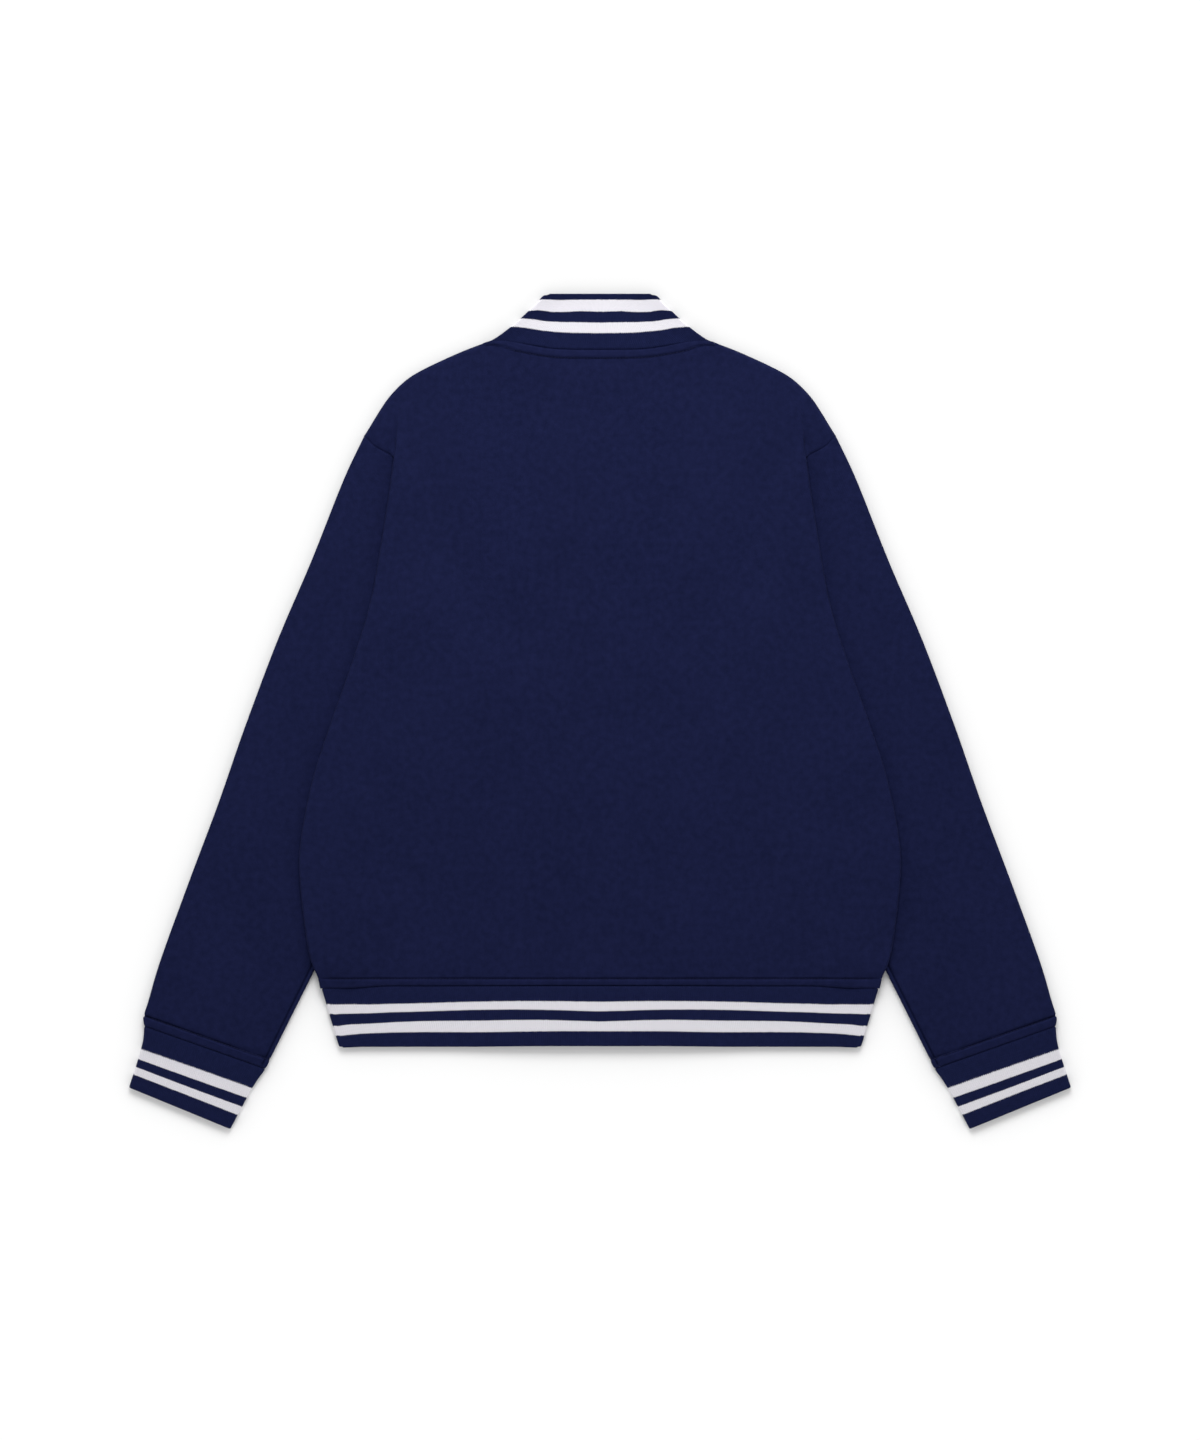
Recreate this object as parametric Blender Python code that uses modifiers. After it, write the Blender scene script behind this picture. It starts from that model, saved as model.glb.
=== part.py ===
"""Varsity jacket in sweat fleece with rib collar, cuffs and hem, laid flat with its back up.

The frame is in metres with +Z up and the origin on the surface, under the middle of the jacket's
bounding box. +Y runs towards the collar, and the wearer's left is at -X. The tables and sizes
below are in millimetres. "Half" means the +X half: the other one is its mirror image.
"""

import math
from collections import namedtuple

import bmesh
import bpy
from mathutils import Vector

MM = 0.001

# Cloth and how its layers lie
FLEECE = 2.2            # wall of the body and sleeves
RIB = 2.6               # rib knit folded double: collar, cuffs and hem band
FLEECE_GAP = 1.3        # room between the two layers of the body and of a sleeve
RIB_GAP = 0.8           # room between the two layers of a rib band
SEAM = 0.3              # room between two pieces that are sewn together
BODY_STACK = 2 * FLEECE + FLEECE_GAP
EDGE_RADIUS = BODY_STACK / 2    # how round the folded edges are, seen from above
FRONT_INSET = FLEECE + 3 * SEAM     # the fronts end this far inside the back's turned-down edge
EDGE_ROOM = 1.5 * SEAM  # the back's turned-down edge ends this far above the fronts' underside
RIB_STACK = 2 * RIB + RIB_GAP

# Body over sleeve: the body climbs onto the sleeve that is folded in under it
CLIMB = BODY_STACK + SEAM
CLIMB_MARGIN = 18.0     # the body is at its full height this far before the sleeve's edge
FRONT_RAMP = 28.0       # length of the climb on the fronts, and on the back near the armhole
BACK_RAMP = 58.0        # length of the climb on the back, farther down
RAMP_CHANGE = 150.0     # the back's climb reaches its full length this far below the armhole
HEM_DROP = (-266.0, -246.0)     # the climb dies out between these heights, above the hem seam
HEM_DROP_LEFT = 0.4     # what is left of it at the hem seam
HEM_DROP_END = -292.0   # where nothing is left of it, on the hem band

# Centre front: the left front laps over the right one, and lies under it here, face down
LAP = 14.0              # each front reaches this far past the centre line
LAP_RAMP = 22.0         # length of the right front's climb onto the left front
LAP_RISE = 1.8          # the back lies this much higher over the lap
LAP_RISE_SPAN = (39.0, 169.0)   # and sinks to its usual height between these distances from it
LAP_RISE_TOP = (230.0, 320.0)   # above the lap the rise dies out between these heights

# Tuck: the back's fold that starts near the shoulder and runs down into the side
TUCK_HEIGHT = 2.2
TUCK_REACH = 70.0       # it fades this far into the panel
TUCK_TAIL = 60.0        # and this far below the armhole seam
TUCK_FALL = 0.5         # outwards the body drops to the sleeve's height within this share of the
                        # way to the armhole seam

HEM_SEAM_Y = -266.3
HEM_END_Y = -325.8
NECK_HALF = 106.0       # half width of the neck at the shoulders
FRONT_NECK_Y = 262.0    # front neck seam at the centre line
NECK_POINT_Y = 358.8    # where the shoulder fold meets the neck
FRONT_NECK_BEND = 2.2   # power of the front neck seam's curve
COLLAR_TOP_Y = 404.5
COLLAR_TOP_HALF = 53.4
COLLAR_SIDE_BOW = 15.5  # size of the inward bow of the collar's side folds
COLLAR_BOW_RISE = 0.6   # power of the bow's growth from the seam, where it is strongest
COLLAR_CORNER = (NECK_HALF - 0.4, NECK_POINT_Y + SEAM)     # where they meet the neck
COLLAR_FRONT_TOP_Y = 313.0      # top edge of the collar at the centre front

# Half width of the body at each height, from the hem seam to the armhole seam
SideRow = namedtuple("SideRow", "y half")
SIDE = [
    SideRow(HEM_SEAM_Y, 271.8),
    SideRow(-257.0, 274.7),
    SideRow(-245.0, 279.8),
    SideRow(-222.0, 284.8),
    SideRow(-164.0, 291.5),
    SideRow(-126.0, 290.5),
    SideRow(-67.0, 279.0),
    SideRow(-9.0, 260.4),
    SideRow(49.0, 240.0),
    SideRow(107.0, 222.6),
    SideRow(185.0, 209.0),
    SideRow(246.25, 200.0),
]

PlanPoint = namedtuple("PlanPoint", "x y")

# Back neck seam, from the centre line to the shoulder
BACK_NECK = [
    PlanPoint(0.0, 350.0),
    PlanPoint(38.0, 350.5),
    PlanPoint(58.0, 352.8),
    PlanPoint(77.0, 356.3),
    PlanPoint(87.0, 358.1),
    PlanPoint(96.0, 358.8),
    PlanPoint(NECK_HALF, NECK_POINT_Y),
]
# Shoulder fold, from the neck to the armhole seam
SHOULDER = [
    PlanPoint(NECK_HALF, NECK_POINT_Y),
    PlanPoint(134.3, 348.0),
    PlanPoint(168.3, 332.4),
    PlanPoint(187.7, 320.8),
    PlanPoint(203.5, 305.3),
    PlanPoint(214.4, 289.6),
    PlanPoint(223.3, 274.9),
    PlanPoint(228.9, 266.2),
]
CREASE_AT = 0.572       # where the tuck's line reaches the shoulder fold, as a share of its length
CREASE_FOOT = PlanPoint(197.2, 246.25)   # where the line meets the armhole seam
CREASE_BEND = PlanPoint(195.5, 282.0)
CREASE_TOP = PlanPoint(187.0, 318.0)    # just inside the shoulder fold
ARMHOLE_SHARE = 0.86    # how far up a panel's rows the armhole seam starts
FRONT_STRIP = 20.0      # width of the fronts' last columns along the side

# Sleeve: outer edge from the armhole seam to the cuff seam
SLEEVE_OUTER = [
    PlanPoint(228.9, 266.2),
    PlanPoint(248.9, 223.6),
    PlanPoint(279.7, 146.0),
    PlanPoint(312.8, 68.4),
    PlanPoint(342.0, -9.2),
    PlanPoint(369.1, -86.8),
    PlanPoint(398.2, -164.4),
    PlanPoint(426.4, -242.0),
    PlanPoint(437.9, -280.8),
    PlanPoint(442.2, -295.0),
    PlanPoint(442.2, -306.0),
]
# Inner edge from the underarm, which lies under the body, to the cuff seam
SLEEVE_INNER = [
    PlanPoint(135.3, 29.6),
    PlanPoint(206.1, -110.0),
    PlanPoint(276.1, -249.8),
    PlanPoint(291.7, -280.8),
    PlanPoint(306.2, -309.9),
    PlanPoint(324.9, -347.3),
]
# Armhole seam below the tuck, out of sight, from the body's side to the underarm
ARMHOLE_LOW = [
    PlanPoint(206.1, 204.2),
    PlanPoint(201.0, 150.0),
    PlanPoint(186.0, 95.0),
    PlanPoint(162.0, 52.0),
    PlanPoint(135.3, 29.6),
]
# Cuff edges from the cuff seam to the wrist
CUFF_OUTER = [PlanPoint(442.0, -306.8), PlanPoint(444.3, -326.0), PlanPoint(456.6, -365.2)]
CUFF_INNER = [PlanPoint(325.2, -348.3), PlanPoint(338.1, -366.6), PlanPoint(358.9, -405.3)]

# Hem band: half width at the seam and at its lower edge
HEM_GAP = 0.5
HEM_SEAM_HALF = 270.9
HEM_END_HALF = 252.8

# Snap fasteners on the centre line: their caps face down, and their stud plates lie inside
SNAP_TOP_Y = 240.0
SNAP_STEP = 107.0
SNAP_COUNT = 6          # the last one is on the hem band
SNAP_CAP_RADIUS = 7.6
SNAP_CAP_SUNK = 0.2     # the caps are sunk this deep into the cloth
SNAP_CAP_HEIGHT = 1.0
SNAP_POST_RADIUS = 3.0
SNAP_PLATE_RADIUS = 5.5
SNAP_PLATE_HEIGHT = 0.8
SNAP_PLATE_PROUD = 0.2
SNAP_CLEARANCE = 0.3
SNAP_SIDES = 14

# Density of the solids
CURL_ANGLES = (0.0, 30.0, 58.0, 82.0, 90.0)
NECK_COLUMNS = 6
FRONT_NECK_XS = (36.0, 56.0, 76.0, 92.0)
SHOULDER_COLUMNS = 7
SIDE_ROW_YS = (-266.3, -256.0, -245.0, -232.0, -205.0, -165.0, -125.0, -85.0, -45.0,
               -5.0, 30.0, 65.0, 100.0, 135.0, 170.0, 195.0, 210.0, 227.0, 246.25)
CREASE_ROWS = 4
SLEEVE_ROWS = 12
CUFF_ROWS = 4
RIB_COLUMNS = 5

NAVY = (0.0100, 0.0130, 0.0500)
NAVY_RIB = (0.0110, 0.0140, 0.0540)
SNAP_METAL = (0.0150, 0.0180, 0.0600)


# ---------------------------------------------------------------- curves

def smooth_step(value):
    value = min(max(value, 0.0), 1.0)
    return value * value * (3.0 - 2.0 * value)


def blend(start, end, fraction):
    return start + (end - start) * fraction


def spline(points, position):
    """Point on a Catmull-Rom curve: position runs from 0 to the number of spans."""
    last = len(points) - 1
    index = min(int(position), last - 1)
    t = position - index
    near = [Vector(points[min(max(index + step, 0), last)]) for step in (-1, 0, 1, 2)]
    if index == 0:
        near[0] = 2 * near[1] - near[2]
    if index == last - 1:
        near[3] = 2 * near[2] - near[1]
    return 0.5 * (2 * near[1] + (near[2] - near[0]) * t
                  + (2 * near[0] - 5 * near[1] + 4 * near[2] - near[3]) * t * t
                  + (3 * near[1] - near[0] - 3 * near[2] + near[3]) * t ** 3)


def curve_points(points, steps=8):
    """The smooth curve through the points, as a fine polyline."""
    spans = len(points) - 1
    return [spline(points, i / steps) for i in range(spans * steps + 1)]


def along(polyline, fraction):
    """Point at this fraction of the polyline's length."""
    lengths = [(b - a).length for a, b in zip(polyline, polyline[1:])]
    left = fraction * sum(lengths)
    for start, end, length in zip(polyline, polyline[1:], lengths):
        if left <= length:
            return start.lerp(end, left / length)
        left -= length
    return polyline[-1].copy()


def crossing(polyline, axis, value):
    """Where a polyline that runs one way along an axis passes a value of it."""
    other = 1 - axis
    for start, end in zip(polyline, polyline[1:]):
        low, high = sorted((start[axis], end[axis]))
        if low <= value <= high and high > low:
            return blend(start[other], end[other], (value - start[axis]) / (end[axis] - start[axis]))
    nearest = min((polyline[0], polyline[-1]), key=lambda p: abs(p[axis] - value))
    return nearest[other]


BACK_NECK_LINE = curve_points(BACK_NECK)
SIDE_LINE = curve_points([(row.half, row.y) for row in SIDE])
SHOULDER_LINE = curve_points(SHOULDER)
CREASE_LINE = curve_points([CREASE_FOOT, CREASE_BEND, CREASE_TOP])
OUTER_LINE = curve_points(SLEEVE_OUTER)
INNER_LINE = curve_points(SLEEVE_INNER)
ARMHOLE_LINE = curve_points(ARMHOLE_LOW)
SIDE_TOP = Vector((SIDE[-1].half, SIDE[-1].y))
SHOULDER_END = Vector(SHOULDER[-1])


def side_half(y):
    return crossing(SIDE_LINE, 1, y)


def back_neck_y(x):
    return crossing(BACK_NECK_LINE, 0, abs(x))


def front_neck_y(x):
    return FRONT_NECK_Y + (NECK_POINT_Y - FRONT_NECK_Y) * (abs(x) / NECK_HALF) ** FRONT_NECK_BEND


# ---------------------------------------------------------------- how high the layers lie

# The part of a sleeve that the body can lie on
SLEEVE_UNDER = ARMHOLE_LINE + INNER_LINE + OUTER_LINE[:1:-1]


def distance_outside(x, y):
    """Distance from the sleeve under the body: negative inside its outline."""
    point = Vector((abs(x), y))
    nearest = 1e9
    inside = False
    for start, end in zip(SLEEVE_UNDER, SLEEVE_UNDER[1:] + SLEEVE_UNDER[:1]):
        edge = end - start
        if edge.length_squared < 1e-9:
            continue
        t = min(max((point - start).dot(edge) / edge.length_squared, 0.0), 1.0)
        nearest = min(nearest, (point - start - edge * t).length)
        if (start.y > point.y) != (end.y > point.y):
            if point.x < blend(start.x, end.x, (point.y - start.y) / (end.y - start.y)):
                inside = not inside
    return -nearest if inside else nearest


def climb(x, y, ramp):
    """Height gained on the sleeve under the body, with a climb of this length."""
    share = smooth_step(1.0 - (distance_outside(x, y) - CLIMB_MARGIN) / ramp)
    low, high = HEM_DROP
    if y < low:
        kept = HEM_DROP_LEFT * smooth_step((y - HEM_DROP_END) / (low - HEM_DROP_END))
    else:
        kept = blend(HEM_DROP_LEFT, 1.0, smooth_step((y - low) / (high - low)))
    return CLIMB * share * kept


def front_underside(x, y):
    return climb(x, y, FRONT_RAMP)


def lap_rise(x, y):
    near, far = LAP_RISE_SPAN
    low, high = LAP_RISE_TOP
    across = smooth_step((far - abs(x)) / (far - near))
    return LAP_RISE * across * smooth_step((high - y) / (high - low))


def back_top(x, y):
    """Upper side of the back panel, without its tuck."""
    change = smooth_step((SIDE[-1].y - y) / RAMP_CHANGE)
    ramp = blend(FRONT_RAMP, BACK_RAMP, change)
    return BODY_STACK + climb(x, y, ramp) + lap_rise(x, y)


def tuck(x, y):
    """Extra height along the tuck's line, on the side towards the centre of the back."""
    if y > CREASE_TOP.y:
        return 0.0
    line_x = crossing(CREASE_LINE, 1, max(y, CREASE_FOOT.y))
    grown = smooth_step((CREASE_TOP.y - y) / (CREASE_TOP.y - CREASE_FOOT.y))
    faded = smooth_step((y - CREASE_FOOT.y + TUCK_TAIL) / TUCK_TAIL)
    inward = smooth_step(1.0 - (line_x - abs(x)) / TUCK_REACH)
    return TUCK_HEIGHT * grown * faded * inward


# ---------------------------------------------------------------- lofts

def loft(name, rows, colour, closed=False, flip=False, start_cap=False):
    """Surface through rows of points in millimetres, each row as long as the next."""
    work = bmesh.new()
    grid = [[work.verts.new(Vector(point) * MM) for point in row] for row in rows]
    count = len(rows[0])
    spans = count if closed else count - 1
    for lower, upper in zip(grid, grid[1:]):
        for i in range(spans):
            j = (i + 1) % count
            corners = [lower[i], upper[i], upper[j], lower[j]]
            work.faces.new(corners if flip else corners[:1] + corners[:0:-1])
    if start_cap:
        work.faces.new(grid[0][::-1])
    mesh = bpy.data.meshes.new(name)
    work.to_mesh(mesh)
    work.free()
    obj = bpy.data.objects.new(name, mesh)
    jacket.objects.link(obj)
    obj.data.materials.append(colour)
    obj.data.shade_smooth()
    return obj


def give_wall(obj, thickness):
    wall = obj.modifiers.new("Wall", "SOLIDIFY")
    wall.thickness = thickness * MM
    wall.offset = -1.0
    return wall


def mirror_half(obj):
    mirror = obj.modifiers.new("Other half", "MIRROR")
    mirror.use_clip = True
    mirror.merge_threshold = 0.00005


# ---------------------------------------------------------------- body panels

TopPoint = namedtuple("TopPoint", "place inward rounded")
PanelRow = namedtuple("PanelRow", "share inner outer rounded past_crease")


def shoulder_point(fraction):
    """Point of the shoulder fold, with the direction into the panel from there."""
    place = along(SHOULDER_LINE, fraction)
    if fraction >= 1.0:
        return TopPoint(place, (SIDE_TOP - place).normalized(), 1.0)
    run = along(SHOULDER_LINE, fraction + 0.01) - along(SHOULDER_LINE, max(fraction - 0.01, 0.0))
    inward = Vector((run.y, -run.x)).normalized() if fraction > 0.0 else Vector((0.0, -1.0))
    return TopPoint(place, inward, min(1.0, 20 * fraction))


def top_points(neck_y, neck_xs, strip_shares):
    """Top edge of a panel's half: the neck, the shoulder up to the crease, and past the crease."""
    points = [TopPoint(Vector((x, neck_y(x))), Vector((0.0, -1.0)), 0.0) for x in neck_xs]
    points += [shoulder_point(CREASE_AT * i / SHOULDER_COLUMNS) for i in range(SHOULDER_COLUMNS + 1)]
    return points + [shoulder_point(blend(CREASE_AT, 1.0, share)) for share in strip_shares]


def panel_rows(crease_top, seam_top, edge_width):
    """Rows of a panel's half, from the hem seam to the shoulder.

    Below the armhole seam a row ends in a strip of this width inside the side. Above it the strip
    widens to the corner between the crease and the armhole seam.
    """
    crease = curve_points([SIDE_TOP - Vector((edge_width, 0.0)), CREASE_BEND, crease_top])
    rows = []
    for y in SIDE_ROW_YS:
        outer = Vector((side_half(y), y))
        share = ARMHOLE_SHARE * (y - HEM_SEAM_Y) / (SIDE_TOP.y - HEM_SEAM_Y)
        rounded = 1.0 if y < SIDE_TOP.y else 0.5
        rows.append(PanelRow(share, outer - Vector((edge_width, 0.0)), outer, rounded, 0.0))
    for i in range(1, CREASE_ROWS + 1):
        part = i / CREASE_ROWS
        rows.append(PanelRow(blend(ARMHOLE_SHARE, 1.0, part), along(crease, part),
                             SIDE_TOP.lerp(seam_top, part), 0.0, part))
    return rows


def panel_plan(tops, rows, strip_shares, side_shares, fixed_x):
    """Places of a panel's half, row by row from the hem seam up and from the centre line out.

    tops are the places of the last row. Columns within fixed_x of the centre line run straight.
    """
    last = len(tops) - len(strip_shares) - 1
    crease_top = tops[last]
    plan = []
    for row in rows:
        line = []
        for top in tops[:last + 1]:
            reach = max(top.x, 0.0) / crease_top.x
            if top.x <= fixed_x:
                x = top.x
            else:
                x = blend(fixed_x, row.inner.x, (top.x - fixed_x) / (crease_top.x - fixed_x))
            y = blend(HEM_SEAM_Y, top.y, row.share)
            y += reach * (row.inner.y - blend(HEM_SEAM_Y, crease_top.y, row.share))
            line.append(Vector((x, y)))
        for top, share, side_share in zip(tops[last + 1:], strip_shares, side_shares):
            if row.past_crease:
                bulge = top - crease_top.lerp(tops[-1], share)
                line.append(row.inner.lerp(row.outer, share) + bulge * row.past_crease)
            else:
                line.append(row.inner.lerp(row.outer, side_share))
        plan.append(line)
    return plan


def curl_share(angle):
    return math.sin(math.radians(angle)), 1.0 - math.cos(math.radians(angle))


def back_height(foot, part_down, fold_share):
    """Upper side of the back over this place of the flat panel, after a part of the turn down."""
    fold = tuck(foot.x, foot.y) * fold_share
    top = back_top(foot.x, foot.y) + fold
    return top - part_down * (top - front_underside(foot.x, foot.y) - EDGE_ROOM)


def make_back(colour):
    strip_shares = (0.25, 0.5, 0.75, 1.0)
    curl = [curl_share(angle) for angle in CURL_ANGLES[1:]]
    neck_xs = [NECK_HALF * i / NECK_COLUMNS for i in range(NECK_COLUMNS)]
    edge = top_points(back_neck_y, neck_xs, strip_shares)
    tops = [point.place + point.inward * EDGE_RADIUS for point in edge]
    last = len(tops) - len(strip_shares) - 1
    rows = panel_rows(tops[last], tops[-1], EDGE_RADIUS)
    plan = panel_plan(tops, rows, strip_shares, [out for out, _ in curl], 0.0)
    points = []
    for row, line in zip(rows, plan):
        heights = [back_height(place, 0.0, 1.0) for place in line[:last + 1]]
        for place, share, (_, down) in zip(line[last + 1:], strip_shares, curl):
            if row.past_crease:
                kept = smooth_step(1.0 - share / TUCK_FALL)
                heights.append(blend(BODY_STACK, back_height(place, 0.0, 1.0), kept))
            else:
                heights.append(back_height(row.inner, down * row.rounded, 1.0))
        points.append([(place.x, place.y, height) for place, height in zip(line, heights)])
    for out, down in curl:
        line = []
        for point, top, before in zip(edge, tops, points[len(rows) - 1]):
            place = top.lerp(point.place, out)
            sunk = back_height(top, 0.0, 0.0) - back_height(top, down * point.rounded, 0.0)
            line.append((place.x, place.y, before[2] - sunk))
        points.append(line)
    back = loft("back", points, colour)
    mirror_half(back)
    give_wall(back, FLEECE)
    return back


def make_front(name, side, lap_height, colour):
    """A front on this side of the centre line. Its edge there lies this high on the other front."""
    strip_shares = (0.5, 1.0)
    neck_xs = [-LAP, 0.0, LAP, LAP + LAP_RAMP / 2, *FRONT_NECK_XS]
    edge = top_points(front_neck_y, neck_xs, strip_shares)
    tops = [point.place for point in edge[:len(neck_xs)]]
    tops += [point.place + point.inward * FRONT_INSET for point in edge[len(neck_xs):]]
    last = len(tops) - len(strip_shares) - 1
    rows = []
    for row in panel_rows(tops[last], tops[-1], FRONT_STRIP):
        outer = row.outer - Vector((FRONT_INSET * min(1.0, 4 * row.rounded), 0.0))
        rows.append(row._replace(outer=outer))
    plan = panel_plan(tops, rows, strip_shares, strip_shares, LAP + LAP_RAMP)
    points = []
    for row, line in zip(rows, plan):
        heights = [front_underside(place.x, place.y)
                   + lap_height * smooth_step((LAP + LAP_RAMP - place.x) / LAP_RAMP) for place in line]
        if row.past_crease:
            heights[last + 1:] = [0.0] * len(strip_shares)
        points.append([(side * place.x, place.y, height) for place, height in zip(line, heights)])
    front = loft(name, points, colour, flip=side > 0)
    give_wall(front, FLEECE)
    return front


# ---------------------------------------------------------------- sleeves and cuffs

def flat_ring(outer, inner, middle, stack):
    """Closed section of a flattened tube from its outer to its inner edge, through middle points."""
    radius = stack / 2
    start = (middle[0] - outer).normalized()
    end = (middle[-1] - inner).normalized()
    angles = [math.radians(angle) for angle in (-54, -18, 18, 54)]
    ring = []
    first = outer + start * radius
    last = inner + end * radius
    flat = [first] + middle + [last]
    ring += [(point.x, point.y, stack) for point in flat]
    for angle in reversed(angles):
        place = last - end * radius * math.cos(angle)
        ring.append((place.x, place.y, radius + radius * math.sin(angle)))
    ring += [(point.x, point.y, 0.0) for point in reversed(flat)]
    for angle in angles:
        place = first - start * radius * math.cos(angle)
        ring.append((place.x, place.y, radius + radius * math.sin(angle)))
    return ring


def mirrored(rows, side):
    return [[(side * x, y, z) for x, y, z in row] for row in rows]


def sleeve_rows():
    """Sections of the sleeve from the armhole seam to the cuff seam."""
    seam_run = (SHOULDER_END - SIDE_TOP).normalized()
    clear = Vector((seam_run.y, -seam_run.x)) * SEAM
    side_run = [Vector((side_half(y) + 1.5 * SEAM, y)) for y in (231.0, 219.0, 207.0)]
    head = [SHOULDER_END + 2 * clear, SIDE_TOP + clear + Vector((SEAM, 0.0))] + side_run + ARMHOLE_LINE[1:]
    stops = (0.0, 0.065, 0.133, 0.205, 0.28, 0.4, 0.55, 0.7, 0.85, 1.0)
    shape = [along(head, stop) for stop in stops]
    rows = []
    for i in range(SLEEVE_ROWS + 1):
        part = math.sin(i / SLEEVE_ROWS * math.pi / 2) ** 1.3
        outer = along(OUTER_LINE, part)
        inner = along(INNER_LINE, part)
        if i == 0:
            outer = shape[0]
            inner = shape[-1]
        section = []
        for stop, point in zip(stops, shape):
            straight_head = shape[0].lerp(shape[-1], stop)
            straight = outer.lerp(inner, stop)
            section.append(straight + (point - straight_head) * (1.0 - part))
        rows.append(flat_ring(section[0], section[-1], section[1:-1], BODY_STACK))
    return rows


def cuff_rows():
    outer_line = curve_points(CUFF_OUTER)
    inner_line = curve_points(CUFF_INNER)
    rows = []
    for i in range(CUFF_ROWS + 1):
        outer = along(outer_line, i / CUFF_ROWS)
        inner = along(inner_line, i / CUFF_ROWS)
        middle = [outer.lerp(inner, stop) for stop in (0.06, 0.25, 0.5, 0.75, 0.94)]
        rows.append(flat_ring(outer, inner, middle, RIB_STACK))
    return rows


def make_tube(name, rows, side, thickness, colour):
    tube = loft(name, mirrored(rows, side), colour, closed=True, flip=side < 0)
    give_wall(tube, thickness)
    return tube


# ---------------------------------------------------------------- collar and hem band

def rib_line(seam, edge, height):
    """One line across a rib band, from its seam to its folded edge."""
    line = []
    for i in range(RIB_COLUMNS + 1):
        place = seam.lerp(edge, i / RIB_COLUMNS)
        line.append((place.x, place.y, height(place)))
    return line


def fold_lines(seam, edge, outward, height, radius, bow=0.0):
    """Lines round a band's side fold, which faces outward, from its under layer to its upper one."""
    lines = []
    for degrees in (-90, -60, -30, 0, 30, 60, 90):
        angle = math.radians(degrees)
        rise = radius + radius * math.sin(angle)
        line = []
        for i, (x, y, z) in enumerate(rib_line(seam, edge, height)):
            share = i / RIB_COLUMNS
            shift = outward * radius * math.cos(angle)
            inward = bow * share ** COLLAR_BOW_RISE * (1 - share)
            line.append((x + shift.x - inward, y + shift.y, z + rise))
        lines.append(line)
    return lines


def make_collar(colour):
    radius = RIB_STACK / 2
    outward = Vector((1.0, 0.0))
    fold_seam = Vector(COLLAR_CORNER) - outward * radius
    fold_edge = Vector((COLLAR_TOP_HALF, COLLAR_TOP_Y)) - outward * radius

    def side_lines(height, fold_radius):
        return fold_lines(fold_seam, fold_edge, outward, lambda place: height, fold_radius,
                          COLLAR_SIDE_BOW)

    outside, inside = [], []
    for x in (0.5, LAP, LAP + LAP_RAMP / 2, *FRONT_NECK_XS):
        share = x / NECK_HALF
        seam = Vector((x, front_neck_y(x) + 2 * SEAM))
        edge = Vector((blend(0.5, fold_edge.x, share), blend(COLLAR_FRONT_TOP_Y, fold_edge.y, share)))
        outside.append(rib_line(seam, edge, lambda place: 0.0))
        inside.append(rib_line(seam, edge, lambda place: RIB))
    outside += side_lines(0.0, radius)
    inside += side_lines(RIB, radius - RIB)
    for x in reversed([NECK_HALF * i / NECK_COLUMNS for i in range(NECK_COLUMNS)]):
        seam = Vector((x, back_neck_y(x) + SEAM))
        edge = Vector((fold_edge.x * x / NECK_HALF, COLLAR_TOP_Y))
        outside.append(rib_line(seam, edge, lambda place: RIB_STACK))
        inside.append(rib_line(seam, edge, lambda place: RIB_STACK - RIB))
    rings = [outer + inner[::-1] for outer, inner in zip(outside, inside)]
    mirror_half(loft("collar", rings, colour, closed=True, start_cap=True))


def make_hem_band(colour):
    radius = RIB_STACK / 2
    lap_height = RIB + SEAM

    def line_at(share, height):
        seam = Vector((share * (HEM_SEAM_HALF - radius), HEM_SEAM_Y - HEM_GAP))
        edge = Vector((share * (HEM_END_HALF - radius), HEM_END_Y))
        return seam, edge, height

    def under(place):
        return climb(place.x, place.y, FRONT_RAMP)

    def over_lap(place):
        return under(place) + lap_height * smooth_step((LAP + LAP_RAMP - place.x) / LAP_RAMP)

    def upper(place):
        rise = (lap_height - SEAM) / LAP_RISE * lap_rise(place.x, place.y)
        return RIB_STACK + climb(place.x, place.y, FRONT_RAMP) + rise

    outer_shares = (0.3, 0.45, 0.6, 0.75, 0.88, 0.95)
    lines = []
    for x in (LAP, 0.0, -LAP, -LAP - LAP_RAMP / 2, -LAP - LAP_RAMP):
        lines.append(rib_line(Vector((x, HEM_SEAM_Y - HEM_GAP)), Vector((x, HEM_END_Y)), under))
    for share in outer_shares:
        lines.append(rib_line(*line_at(-share, under)))
    run = Vector((HEM_END_HALF - HEM_SEAM_HALF, HEM_END_Y - HEM_SEAM_Y)).normalized()
    outward = Vector((-run.y, run.x))
    seam, edge, _ = line_at(1.0, under)
    right_fold = fold_lines(seam, edge, outward, under, radius)
    left_fold = [[(-x, y, z) for x, y, z in line] for line in right_fold]
    lines += left_fold
    back_shares = (0.95, 0.88, 0.75, 0.6, 0.45, 0.3, 0.15, 0.0)
    for share in back_shares:
        lines.append(rib_line(*line_at(-share, upper)))
    for share in reversed(back_shares[:-1]):
        lines.append(rib_line(*line_at(share, upper)))
    lines += reversed(right_fold)
    for share in reversed(outer_shares):
        lines.append(rib_line(*line_at(share, over_lap)))
    for x in (LAP + LAP_RAMP, LAP + LAP_RAMP / 2, LAP, 0.0, -LAP):
        lines.append(rib_line(Vector((x, HEM_SEAM_Y - HEM_GAP)), Vector((x, HEM_END_Y)), over_lap))
    band = loft("hem_band", lines, colour)
    give_wall(band, RIB)
    return band


# ---------------------------------------------------------------- snap fasteners

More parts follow.
